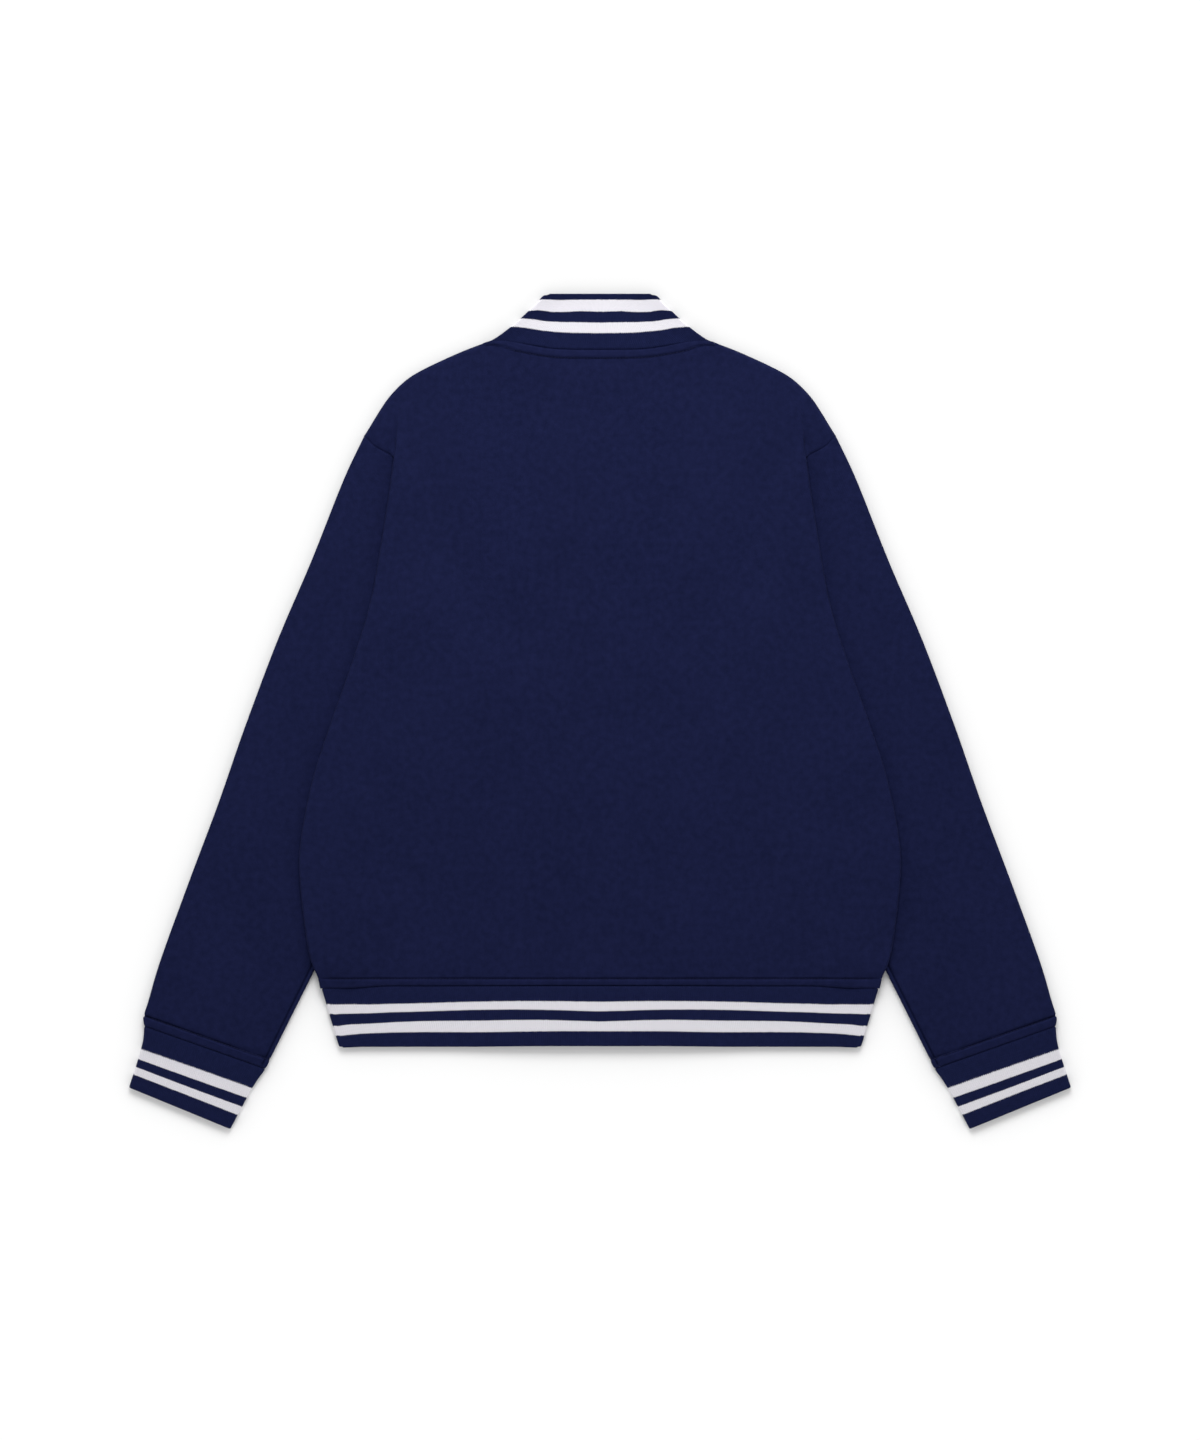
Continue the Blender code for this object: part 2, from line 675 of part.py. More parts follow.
def turned(name, profile, centre, sides, collection):
    """Solid of revolution: the profile's (radius, z) points run down its outer side, at one place."""
    mesh = bpy.data.meshes.new(name)
    points = [(radius * MM, 0.0, z * MM) for radius, z in profile]
    mesh.from_pydata(points, [(i, i + 1) for i in range(len(points) - 1)], [])
    obj = bpy.data.objects.new(name, mesh)
    obj.location = (centre[0] * MM, centre[1] * MM, 0.0)
    collection.objects.link(obj)
    screw = obj.modifiers.new("Turn", "SCREW")
    screw.steps = screw.render_steps = sides
    screw.use_merge_vertices = True
    screw.merge_threshold = 0.00001
    screw.use_smooth_shade = False
    return obj


def make_snap(index, colour):
    """A snap through both layers of the lap, and the cutter of its seat."""
    on_band = index == SNAP_COUNT - 1
    wall = RIB if on_band else FLEECE
    lap_top = 2 * wall + SEAM
    cap_top = SNAP_CAP_SUNK + SNAP_CAP_HEIGHT
    plate_top = lap_top + SNAP_PLATE_PROUD
    plate_low = plate_top - SNAP_PLATE_HEIGHT
    centre = (0.0, SNAP_TOP_Y - SNAP_STEP * index)
    profile = [(0.0, plate_top), (SNAP_PLATE_RADIUS, plate_top), (SNAP_PLATE_RADIUS, plate_low),
               (SNAP_POST_RADIUS, plate_low), (SNAP_POST_RADIUS, cap_top), (SNAP_CAP_RADIUS, cap_top),
               (SNAP_CAP_RADIUS, SNAP_CAP_SUNK), (0.0, SNAP_CAP_SUNK)]
    snap = turned("snap_" + str(index + 1), profile, centre, SNAP_SIDES, jacket)
    snap.data.materials.append(colour)
    room = SNAP_CLEARANCE
    seat = [(0.0, plate_top + 1.0), (SNAP_PLATE_RADIUS + room, plate_top + 1.0),
            (SNAP_PLATE_RADIUS + room, plate_low - room), (SNAP_POST_RADIUS + room, plate_low - room),
            (SNAP_POST_RADIUS + room, cap_top + room), (SNAP_CAP_RADIUS + room, cap_top + room),
            (SNAP_CAP_RADIUS + room, -1.0), (0.0, -1.0)]
    cutter = turned("snap_seat_" + str(index + 1), seat, centre, SNAP_SIDES, snap_seats)
    cutter.hide_render = True
    cutter.display_type = "WIRE"


def cut_seats(obj):
    cut = obj.modifiers.new("Snap seats", "BOOLEAN")
    cut.operation = "DIFFERENCE"
    cut.operand_type = "COLLECTION"
    cut.collection = snap_seats


# ---------------------------------------------------------------- build

def material(name, colour, roughness, metallic=0.0):
    made = bpy.data.materials.new(name)
    made.use_nodes = True
    shader = made.node_tree.nodes["Principled BSDF"]
    shader.inputs["Base Color"].default_value = (*colour, 1.0)
    shader.inputs["Roughness"].default_value = roughness
    shader.inputs["Metallic"].default_value = metallic
    return made


for old in list(bpy.data.objects):
    bpy.data.objects.remove(old, do_unlink=True)
jacket = bpy.data.collections.new("varsity_jacket")
bpy.context.scene.collection.children.link(jacket)
snap_seats = bpy.data.collections.new("snap_seats")
bpy.context.scene.collection.children.link(snap_seats)

fleece = material("fleece", NAVY, 0.9)
rib = material("rib", NAVY_RIB, 0.85)
snap_metal = material("snap_metal", SNAP_METAL, 0.35)

for number in range(SNAP_COUNT):
    make_snap(number, snap_metal)
make_back(fleece)
cut_seats(make_front("front_left", -1, 0.0, fleece))
cut_seats(make_front("front_right", 1, FLEECE + SEAM, fleece))
for side_name, side_sign in (("left", -1), ("right", 1)):
    make_tube("sleeve_" + side_name, sleeve_rows(), side_sign, FLEECE, fleece)
    make_tube("cuff_" + side_name, cuff_rows(), side_sign, RIB, rib)
make_collar(rib)
cut_seats(make_hem_band(rib))
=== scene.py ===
"""Finish of a varsity jacket in navy sweat fleece with striped rib, laid flat with its back up.

Each cloth piece is a thin shell with its folds, seams and ribs in it, and stands for the plain
solid of the same name. Sizes are in millimetres, in the solids' own frame: +Y runs towards the
collar, the wearer's left is at -X, and the floor is at Z = 0. "Half" means the +X half.
"""

import math
from collections import namedtuple

import bpy
import numpy as np
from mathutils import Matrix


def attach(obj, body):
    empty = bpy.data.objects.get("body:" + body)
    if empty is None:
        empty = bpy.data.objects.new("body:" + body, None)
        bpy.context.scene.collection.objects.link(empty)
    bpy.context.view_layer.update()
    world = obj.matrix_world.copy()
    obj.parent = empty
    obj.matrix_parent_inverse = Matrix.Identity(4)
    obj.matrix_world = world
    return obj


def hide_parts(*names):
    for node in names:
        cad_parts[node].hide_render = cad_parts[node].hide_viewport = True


MM = 0.001

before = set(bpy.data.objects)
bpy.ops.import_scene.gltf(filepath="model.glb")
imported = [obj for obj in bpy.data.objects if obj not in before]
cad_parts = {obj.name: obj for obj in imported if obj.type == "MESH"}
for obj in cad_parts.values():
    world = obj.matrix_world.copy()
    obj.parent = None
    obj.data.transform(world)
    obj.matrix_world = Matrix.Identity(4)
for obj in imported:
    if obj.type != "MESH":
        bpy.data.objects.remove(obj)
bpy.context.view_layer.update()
bpy.ops.object.select_all(action="DESELECT")

# ---------------------------------------------------------------- sizes shared with the solids

FLEECE = 2.2
RIB = 2.6
FLEECE_GAP = 1.3
RIB_GAP = 0.8
SEAM = 0.3
BODY_STACK = 2 * FLEECE + FLEECE_GAP
EDGE_RADIUS = BODY_STACK / 2
FRONT_INSET = FLEECE + 3 * SEAM
RIB_STACK = 2 * RIB + RIB_GAP

CLIMB = BODY_STACK + SEAM
CLIMB_MARGIN = 18.0
FRONT_RAMP = 28.0
BACK_RAMP = 58.0
RAMP_CHANGE = 150.0
HEM_DROP = (-266.0, -246.0)
HEM_DROP_LEFT = 0.4
HEM_DROP_END = -292.0

LAP = 14.0
LAP_RAMP = 22.0
LAP_RISE = 1.8
LAP_RISE_SPAN = (39.0, 169.0)
LAP_RISE_TOP = (230.0, 320.0)

TUCK_HEIGHT = 2.2
TUCK_REACH = 70.0
TUCK_TAIL = 60.0

HEM_SEAM_Y = -266.3
HEM_END_Y = -325.8
HEM_SEAM_HALF = 270.9
HEM_END_HALF = 252.8
NECK_HALF = 106.0
FRONT_NECK_Y = 262.0
NECK_POINT_Y = 358.8
FRONT_NECK_BEND = 2.2
COLLAR_TOP_Y = 404.5
COLLAR_TOP_HALF = 53.4
COLLAR_SIDE_BOW = 13.0
COLLAR_BOW_RISE = 0.6
COLLAR_FRONT_TOP_Y = 313.0

# Half width of the body at each height, from the hem seam to the armhole seam
SIDE = [(271.8, HEM_SEAM_Y), (274.7, -257.0), (279.8, -245.0), (284.8, -222.0), (291.5, -164.0),
        (290.5, -126.0), (279.0, -67.0), (260.4, -9.0), (240.0, 49.0), (222.6, 107.0), (209.0, 185.0),
        (200.0, 246.25)]
BACK_NECK = [(0.0, 350.0), (38.0, 350.5), (58.0, 352.8), (77.0, 356.3), (87.0, 358.1), (96.0, 358.8),
             (NECK_HALF, NECK_POINT_Y)]
SHOULDER = [(NECK_HALF, NECK_POINT_Y), (134.3, 348.0), (168.3, 332.4), (187.7, 320.8),
            (203.5, 305.3), (214.4, 289.6), (223.3, 274.9), (228.9, 266.2)]
CREASE_AT = 0.572
CREASE_FOOT = (197.2, 246.25)
CREASE_BEND = (195.5, 282.0)
CREASE_TOP = (187.0, 318.0)
ARMHOLE_SHARE = 0.86
FRONT_STRIP = 20.0
SLEEVE_OUTER = [(228.9, 266.2), (248.9, 223.6), (279.7, 146.0), (312.8, 68.4), (342.0, -9.2),
                (369.1, -86.8), (398.2, -164.4), (426.4, -242.0), (437.9, -280.8),
                (442.2, -295.0), (442.2, -306.0)]
SLEEVE_INNER = [(135.3, 29.6), (206.1, -110.0), (276.1, -249.8), (291.7, -280.8),
                (306.2, -309.9), (324.9, -347.3)]
ARMHOLE_LOW = [(206.1, 204.2), (201.0, 150.0), (186.0, 95.0), (162.0, 52.0), (135.3, 29.6)]
CUFF_OUTER = [(442.0, -306.2), (444.3, -326.0), (456.9, -366.0)]
CUFF_INNER = [(325.0, -347.6), (338.1, -366.6), (359.2, -406.1)]

SNAP_TOP_Y = 240.0
SNAP_STEP = 107.0
SNAP_COUNT = 6
SNAP_CAP_RADIUS = 7.6
SNAP_CAP_SUNK = 0.2
SNAP_CAP_HEIGHT = 1.0
SNAP_POST_RADIUS = 3.0
SNAP_PLATE_RADIUS = 5.5
SNAP_PLATE_HEIGHT = 0.8
SNAP_PLATE_PROUD = 0.2

# ---------------------------------------------------------------- sizes of the finish

BAND = 8.1              # from the neck seam to the stitches that hold its allowance down
HEM_BAND = 5.8          # the same above the hem seam
CUFF_BAND = 9.0         # the same on the sleeves
BAND_LIFT = 1.1         # how high the allowance lifts the cloth
SEAM_ROLL = 1.2         # how deep the cloth rolls into a seam
ARMHOLE_ROLL = 1.9      # the same at the armhole seam
ARMHOLE_BOW = 1.8       # how far that seam bows towards the sleeve
HEM_ROLL = 1.5          # how many times deeper it is at the hem seam
HEM_SEAM_SAG = (1.0, 3.0)       # how far the hem seam hangs below its line, mid-way and at the sides
SAG_FADE = 4.4          # how far above the seam the cloth still hangs with it
HEM_CORNERS = 0.9       # how far the hem band's corners are drawn in
COLLAR_CORNERS = (0.7, 0.8)     # how far the collar's upper corners are drawn in and down
UNDERARM_DEPTH = 2.2
GROOVE = 1.3            # how deep the stitches pull the cloth in
GROOVE_WIDTH = 1.15
ROLL_WIDTH = 0.8        # how wide the roll into a seam is, on each side of it
EDGE_ROLL_WIDTH = 0.9   # the same at the armholes and on the ribs
SETTLE = 20.0           # soft folds start this far from a seam
TOUCH = 0.05            # sewn pieces run together in their seam
OVERRUN = 0.3           # how far a panel's edge goes past the solid's, into the seam
STITCH_PITCH = 3.1
STITCH_LENGTH = 2.5
STITCH_WIDTH = 0.8
STITCH_HEIGHT = 0.5
UNDERARM_SEAM = 4.2     # distance of the underarm seam from the sleeve's inner fold
EDGE_EASE = 0.5         # how far soft folded edges swell past the solids'

RIB_PITCH = 2.15
RIB_DEPTH = 0.4
RIB_SAMPLES = (1.0, 0.55, 0.0, 0.55)    # height of a rib at its crest, flank, groove and flank

# Edges of the rib's stripes, as shares of the way from its folded edge to its seam. The place is
# a share of the collar's half or of the cuff's width, and millimetres from the middle on the hem.
StripeRow = namedtuple("StripeRow", "place near_1 far_1 near_2 far_2")
COLLAR_STRIPES = [StripeRow(*row) for row in (
    (0.0, 0.105, 0.321, 0.518, 0.702), (0.3, 0.107, 0.312, 0.512, 0.697),
    (0.5, 0.111, 0.336, 0.522, 0.699), (0.7, 0.124, 0.356, 0.542, 0.713),
    (0.9, 0.123, 0.350, 0.538, 0.712), (1.0, 0.123, 0.361, 0.528, 0.700))]
HEM_STRIPES = [StripeRow(*row) for row in (
    (0.0, 0.251, 0.410, 0.580, 0.738), (60.0, 0.250, 0.437, 0.609, 0.749),
    (120.0, 0.242, 0.430, 0.610, 0.741), (180.0, 0.244, 0.421, 0.581, 0.713),
    (220.0, 0.236, 0.396, 0.566, 0.703), (241.0, 0.227, 0.387, 0.567, 0.718),
    (256.0, 0.213, 0.379, 0.567, 0.720), (266.0, 0.200, 0.359, 0.561, 0.722))]
CUFF_STRIPES = [StripeRow(*row) for row in (
    (0.0, 0.220, 0.341, 0.471, 0.629), (0.5, 0.229, 0.347, 0.487, 0.650),
    (1.0, 0.231, 0.362, 0.507, 0.662))]
HEM_SAG = [(0.0, -0.2), (60.0, -0.2), (120.0, 0.5), (230.0, 0.6), (252.0, 1.5)]    # of the folded edge


# ---------------------------------------------------------------- curves and heights

def smooth_step(value):
    value = np.clip(value, 0.0, 1.0)
    return value * value * (3.0 - 2.0 * value)


def blend(start, end, share):
    return start + (end - start) * share


def swell(value):
    """A soft bump: 1 at zero, and nothing left at about 2."""
    return np.exp(-value * value)


def curve(points, steps=10):
    """The smooth curve through the points, as a fine polyline."""
    near = np.array(points, float)
    near = np.vstack([2 * near[:1] - near[1:2], near, 2 * near[-1:] - near[-2:-1]])
    t = np.linspace(0.0, 1.0, steps, endpoint=False)[:, None]
    spans = []
    for before, start, end, after in zip(near, near[1:], near[2:], near[3:]):
        spans.append(0.5 * (2 * start + (end - before) * t
                            + (2 * before - 5 * start + 4 * end - after) * t ** 2
                            + (3 * start - before - 3 * end + after) * t ** 3))
    return np.vstack(spans + [near[-2:-1]])


def lengths_along(line):
    return np.concatenate([[0.0], np.cumsum(np.linalg.norm(np.diff(line, axis=0), axis=1))])


def at_lengths(line, wanted):
    """Points of a polyline at these lengths along it."""
    lengths = lengths_along(line)
    return np.stack([np.interp(wanted, lengths, line[:, k]) for k in range(line.shape[1])], axis=-1)


def along(line, shares):
    return at_lengths(line, np.asarray(shares) * lengths_along(line)[-1])


def unit(vectors):
    return vectors / np.maximum(np.linalg.norm(vectors, axis=-1, keepdims=True), 1e-9)


def distance_to(line, x, y):
    nearest = np.full(np.shape(x), 1e9)
    for start, end in zip(line, line[1:]):
        edge = end - start
        squared = edge @ edge
        if squared > 1e-9:
            share = np.clip(((x - start[0]) * edge[0] + (y - start[1]) * edge[1]) / squared, 0.0, 1.0)
            away = np.hypot(x - start[0] - edge[0] * share, y - start[1] - edge[1] * share)
            nearest = np.minimum(nearest, away)
    return nearest


def is_inside(outline, x, y):
    inside = np.zeros(np.shape(x), bool)
    for start, end in zip(outline, np.roll(outline, -1, axis=0)):
        if start[1] != end[1]:
            crossing = blend(start[0], end[0], (y - start[1]) / (end[1] - start[1]))
            inside ^= ((start[1] > y) != (end[1] > y)) & (x < crossing)
    return inside


BACK_NECK_LINE = curve(BACK_NECK)
SIDE_LINE = curve(SIDE)
SHOULDER_LINE = curve(SHOULDER)
CREASE_LINE = curve([CREASE_FOOT, CREASE_BEND, CREASE_TOP])
OUTER_LINE = curve(SLEEVE_OUTER)
INNER_LINE = curve(SLEEVE_INNER)
ARMHOLE_LINE = curve(ARMHOLE_LOW)
SIDE_TOP = np.array(SIDE[-1])
SHOULDER_END = np.array(SHOULDER[-1])
SLEEVE_UNDER = np.vstack([ARMHOLE_LINE, INNER_LINE, OUTER_LINE[:1:-1]])
HEAD_RUN = unit(SHOULDER_END - SIDE_TOP)
TO_SLEEVE = np.array([HEAD_RUN[1], -HEAD_RUN[0]])
HEAD_SHARES = np.linspace(0.0, 1.0, 25)


def armhole_bow(share):
    """How far the armhole seam lies off the straight line from SIDE_TOP to SHOULDER_END."""
    grown = smooth_step(share / 0.6) * smooth_step((0.9 - share) / 0.25)
    return ARMHOLE_BOW * grown[:, None] * TO_SLEEVE


HEAD_LINE = blend(SIDE_TOP, SHOULDER_END, HEAD_SHARES[:, None]) + armhole_bow(HEAD_SHARES)


def side_half(y):
    return np.interp(y, SIDE_LINE[:, 1], SIDE_LINE[:, 0])


def back_neck_y(x):
    return np.interp(np.abs(x), BACK_NECK_LINE[:, 0], BACK_NECK_LINE[:, 1])


def front_neck_y(x):
    return FRONT_NECK_Y + (NECK_POINT_Y - FRONT_NECK_Y) * (np.abs(x) / NECK_HALF) ** FRONT_NECK_BEND


def hem_sag(x):
    """How far the hem seam lies below HEM_SEAM_Y."""
    return blend(*HEM_SEAM_SAG, smooth_step((np.abs(x) - 205.0) / 45.0))


def sagged(x, y):
    """Heights just above the hem seam, which hang with it."""
    return y - hem_sag(x) * smooth_step((HEM_SEAM_Y + SAG_FADE - y) / SAG_FADE)


def climb(x, y, ramp):
    """Height gained on the sleeve under the body, with a climb of this length."""
    away = distance_to(np.vstack([SLEEVE_UNDER, SLEEVE_UNDER[:1]]), np.abs(x), y)
    away = np.where(is_inside(SLEEVE_UNDER, np.abs(x), y), -away, away)
    share = smooth_step(1.0 - (away - CLIMB_MARGIN) / ramp)
    low, high = HEM_DROP
    on_band = HEM_DROP_LEFT * smooth_step((y - HEM_DROP_END) / (low - HEM_DROP_END))
    on_body = blend(HEM_DROP_LEFT, 1.0, smooth_step((y - low) / (high - low)))
    return CLIMB * share * np.where(y < low, on_band, on_body)


def lap_rise(x, y):
    near, far = LAP_RISE_SPAN
    low, high = LAP_RISE_TOP
    across = smooth_step((far - np.abs(x)) / (far - near))
    return LAP_RISE * across * smooth_step((high - y) / (high - low))


def back_top(x, y):
    change = smooth_step((SIDE_TOP[1] - y) / RAMP_CHANGE)
    return BODY_STACK + climb(x, y, blend(FRONT_RAMP, BACK_RAMP, change)) + lap_rise(x, y)


def tuck(x, y):
    """Extra height along the tuck's line, on the side towards the centre of the back."""
    line_x = np.interp(y, CREASE_LINE[:, 1], CREASE_LINE[:, 0])
    grown = smooth_step((CREASE_TOP[1] - y) / (CREASE_TOP[1] - CREASE_FOOT[1]))
    faded = smooth_step((y - CREASE_FOOT[1] + TUCK_TAIL) / TUCK_TAIL)
    inward = smooth_step(1.0 - (line_x - np.abs(x)) / TUCK_REACH)
    return TUCK_HEIGHT * grown * faded * inward


# ---------------------------------------------------------------- folds

# A soft trough (negative height) or ridge that fades at both ends
Fold = namedtuple("Fold", "x0 y0 x1 y1 width height bow")

TWIN_FOLDS = [Fold(*row) for row in (
    (142.0, 338.0, 112.0, 327.0, 5.0, -0.5, -2.0), (184.0, 322.0, 190.0, 290.0, 6.0, -0.5, -2.0),
    (82.0, -140.0, 46.0, -236.0, 9.0, -0.7, -5.0), (58.0, -120.0, 24.0, -240.0, 14.0, 0.5, -6.0))]
BACK_FOLDS = TWIN_FOLDS + [
    fold._replace(x0=-fold.x0, x1=-fold.x1, bow=-fold.bow) for fold in TWIN_FOLDS
] + [Fold(*row) for row in (
    (-190.5, 308.0, -196.0, 258.0, 3.6, 0.8, -1.0), (196.0, 258.0, 190.5, 308.0, 3.6, 0.8, 1.0),
    (-214.0, 120.0, -150.0, -60.0, 22.0, 0.8, -9.0), (210.0, 100.0, 156.0, -80.0, 22.0, 0.8, 9.0),
    (-238.0, -20.0, -206.0, -190.0, 16.0, -0.7, -7.0), (240.0, -40.0, 210.0, -200.0, 16.0, -0.7, 7.0),
    (-120.0, 250.0, -60.0, 120.0, 26.0, 0.5, 12.0), (124.0, 240.0, 66.0, 108.0, 26.0, 0.5, -12.0),
    (-30.0, 320.0, 40.0, 240.0, 30.0, -0.4, 10.0), (-12.0, 60.0, 18.0, -110.0, 30.0, 0.4, -8.0))]
FRONT_FOLDS = [Fold(*row) for row in (
    (90.0, -120.0, 62.0, -238.0, 11.0, -0.6, 5.0), (190.0, -60.0, 150.0, -230.0, 15.0, -0.7, -7.0),
    (120.0, 270.0, 78.0, 150.0, 18.0, -0.7, 8.0), (60.0, 210.0, 48.0, 40.0, 20.0, -0.5, 6.0),
    (150.0, 120.0, 96.0, -40.0, 17.0, -0.6, -8.0), (170.0, 300.0, 128.0, 240.0, 8.0, -0.6, 4.0))]
SLEEVE_FOLDS = [Fold(*row) for row in (
    (244.0, 190.0, 292.0, 60.0, 10.0, 0.7, 6.0), (262.0, 120.0, 276.0, 40.0, 7.0, -0.5, 3.0),
    (300.0, 20.0, 352.0, -120.0, 15.0, 0.8, -8.0), (312.0, -60.0, 372.0, -210.0, 13.0, -0.7, 8.0),
    (352.0, -180.0, 392.0, -290.0, 12.0, 0.7, 5.0), (392.0, -214.0, 414.0, -284.0, 7.0, -0.5, -3.0),
    (322.0, -214.0, 352.0, -300.0, 8.0, -0.6, -4.0))]

# Small gathers where the body is drawn in above the hem band
Gather = namedtuple("Gather", "x width depth length")
GATHERS = [Gather(*row) for row in (
    (-252.0, 5.0, 0.5, 16.0), (-231.0, 6.5, 0.35, 24.0), (-199.0, 5.5, 0.5, 19.0),
    (-178.0, 8.0, 0.65, 30.0), (-161.0, 5.0, 0.45, 17.0), (-128.0, 7.0, 0.35, 22.0),
    (-97.0, 5.5, 0.3, 15.0), (-64.0, 8.0, 0.4, 27.0), (-31.0, 6.0, 0.3, 14.0),
    (8.0, 7.0, 0.35, 21.0), (37.0, 5.5, 0.3, 15.0), (69.0, 7.5, 0.4, 26.0), (101.0, 5.0, 0.3, 16.0),
    (133.0, 7.0, 0.4, 22.0), (160.0, 5.0, 0.45, 18.0), (177.0, 8.0, 0.65, 29.0),
    (201.0, 5.0, 0.5, 20.0), (229.0, 7.0, 0.35, 24.0), (251.0, 5.0, 0.5, 15.0))]


def folds_height(folds, x, y):
    """Height of soft folds at a place, in millimetres."""
    height = np.zeros(np.shape(x))
    for fold in folds:
        run = np.array([fold.x1 - fold.x0, fold.y1 - fold.y0])
        length = np.hypot(*run)
        part = ((x - fold.x0) * run[0] + (y - fold.y0) * run[1]) / length ** 2
        side = ((x - fold.x0) * run[1] - (y - fold.y0) * run[0]) / length
        side = side - fold.bow * 4 * part * (1 - part)
        width = fold.width * np.where(side > 0, 0.75, 1.25)
        fade = smooth_step(part / 0.4) * smooth_step((1.0 - part) / 0.35)
        height = height + fold.height * swell(side / width) * fade
    return height


def gathers_height(x, above, strength=1.0):
    """Depth of the gathers at a distance above the hem seam's stitches."""
    height = np.zeros(np.shape(x))
    for gather in GATHERS:
        lean = gather.x + 0.12 * above
        fade = smooth_step(above / 3.0) * smooth_step(1.0 - above / gather.length)
        height = height - strength * gather.depth * swell((x - lean) / gather.width) * fade
    return height


def pucker(run, strength=0.14):
    """Uneven small waves that stitching draws into cloth, along the stitches."""
    return strength * (np.sin(run * 0.71) + 0.7 * np.sin(run * 1.13 + 1.0) + 0.5 * np.sin(run * 0.37 + 2.0))


def neck_band(x):
    """Width of the allowance along the neck, which narrows towards the shoulders."""
    return BAND * (1.0 - 0.5 * smooth_step((np.abs(x) - 80.0) / 24.0))


def neck_roll(x):
    """Share of the roll into the neck seam, which is pressed open towards the shoulders."""
    return 1.0 - smooth_step((np.abs(x) - 58.0) / 38.0)


def pressed_seam(distance, run, width=BAND, rolled=1.0, sewn=1.0):
    """Relief next to a seam whose allowance lies on this side and is stitched down."""
    roll = -SEAM_ROLL * rolled * swell(distance / ROLL_WIDTH)
    band = BAND_LIFT * smooth_step((width + 0.2 - distance) / 1.2) * (0.45 + 0.8 * distance / width)
    groove = -GROOVE * sewn * swell((distance - width) / GROOVE_WIDTH)
    wave = pucker(run) * sewn * swell((distance - width) / 4.5)
    return roll + band + groove + wave


def hem_seam(x, above):
    """Relief next to the hem seam, whose lines stop a little short of the sides."""
    sewn = smooth_step((270.0 - np.abs(x)) / 9.0)
    return pressed_seam(above + hem_sag(x), x, HEM_BAND + hem_sag(x), HEM_ROLL * sewn, sewn)


# ---------------------------------------------------------------- shells

def grid_normals(points, closed):
    """Unit normals of a grid of points: columns turned towards rows gives the outer side."""
    if closed:
        across = np.roll(points, -1, axis=1) - np.roll(points, 1, axis=1)
    else:
        across = np.gradient(points, axis=1)
    return unit(np.cross(across, np.gradient(points, axis=0)))


def facing_up(base, closed=False):
    """How far a surface faces up or down (1) rather than to the side (0)."""
    return smooth_step(1.5 * np.abs(grid_normals(base, closed)[..., 2]))


def edge_roll(distance, wall):
    """How far a wall's two sides draw together near an edge, for a rounded edge."""
    reach = np.clip(1.0 - distance / (wall * 0.55), 0.0, 1.0)
    return 0.42 * wall * (1.0 - np.sqrt(1.0 - 0.98 * reach ** 2))


def shell(name, base, cloth_map, wall, relief, roll, finish, flip=False, closed=False):
    """A wall with its outer side on a grid of points, relief on it, and a plain inside.

    cloth_map holds each point's place on the flat cloth. roll draws both sides together at edges.
    """
    normals = grid_normals(base, closed) * (-1.0 if flip else 1.0)
    outer = base + normals * (relief - roll)[..., None]
    inner = base - normals * (wall - roll)[..., None]
    rows, columns = base.shape[:2]
    spans = columns if closed else columns - 1
    first = np.arange(rows - 1)[:, None] * columns
    left = np.arange(spans)[None, :]
    right = (left + 1) % columns
    quads = np.stack([first + left, first + right, first + columns + right, first + columns + left],
                     axis=-1).reshape(-1, 4)
    count = rows * columns
    faces = [quads, quads[:, ::-1] + count]
    for row in (0, rows - 1):
        near = row * columns + left[0]
        far = row * columns + right[0]
        rim = np.stack([near, near + count, far + count, far], axis=-1)
        faces.append(rim if row == 0 else rim[:, ::-1])
    if not closed:
        for column in (0, columns - 1):
            near = np.arange(rows - 1) * columns + column
            far = near + columns
            rim = np.stack([near, far, far + count, near + count], axis=-1)
            faces.append(rim if column == 0 else rim[:, ::-1])
    points = np.concatenate([outer.reshape(-1, 3), inner.reshape(-1, 3)]) * MM
    points[:, 2] = np.maximum(points[:, 2], 0.0)
    return cloth_mesh(name, points, np.concatenate(faces), np.tile(cloth_map.reshape(-1, 2), (2, 1)),
                      finish, flip)


def add_piece(name, points, faces, finish):
    """A smooth object with these points, in metres, and faces."""
    mesh = bpy.data.meshes.new(name)
    mesh.from_pydata(points.tolist(), [], faces)
    mesh.materials.append(finish)
    mesh.shade_smooth()
    piece = bpy.data.objects.new(name, mesh)
    bpy.context.scene.collection.objects.link(piece)
    return piece


def cloth_mesh(name, points, faces, cloth_map, finish, flip):
    piece = add_piece(name, points, (faces[:, ::-1] if flip else faces).tolist(), finish)
    mesh = piece.data
    corners = np.empty(len(mesh.loops), np.int32)
    mesh.loops.foreach_get("vertex_index", corners)
    layer = mesh.uv_layers.new(name="Cloth")
    layer.data.foreach_set("uv", cloth_map[corners].astype(np.float32).ravel())
    mesh.set_sharp_from_angle(angle=math.radians(62))
    return piece


# ---------------------------------------------------------------- body panels

NECK_STEPS = (0.0, 0.35, 0.8, 1.4, 2.4, 4.0, 5.4, 6.4, 7.0, 7.4, 7.8, 8.2, 8.6, 9.2, 10.2, 12.0, 15.0,
              19.0, 24.0, 30.0, 37.0, 45.0, 53.0, 61.0, 69.0, 77.0)
HEM_STEPS = (-OVERRUN, 0.2, 0.6, 1.0, 1.6, 2.6, 3.6, 4.4, 5.0, 5.4, 5.8, 6.2, 6.6, 7.2, 8.2, 10.0, 13.0,
             17.0, 21.0)
BODY_ROW_STEP = 4.4
NECK_COLUMNS = 26
SHOULDER_COLUMNS = 24
STRIP_SHARES = np.array([0.025, 0.05, 0.075, 0.1, 0.125, 0.155, 0.195, 0.25, 0.33, 0.43, 0.55, 0.68, 0.82,
                         0.92, 1.0])
FOLD_FALL = (1.3, 6.0)      # width of the body's drop past the tuck, at its foot and where it fades
FOLD_LEAD = 2.2             # how far past the tuck's foot the drop starts
FOLD_TURN = 0.12            # share of the way up the tuck in which the side fold opens into it


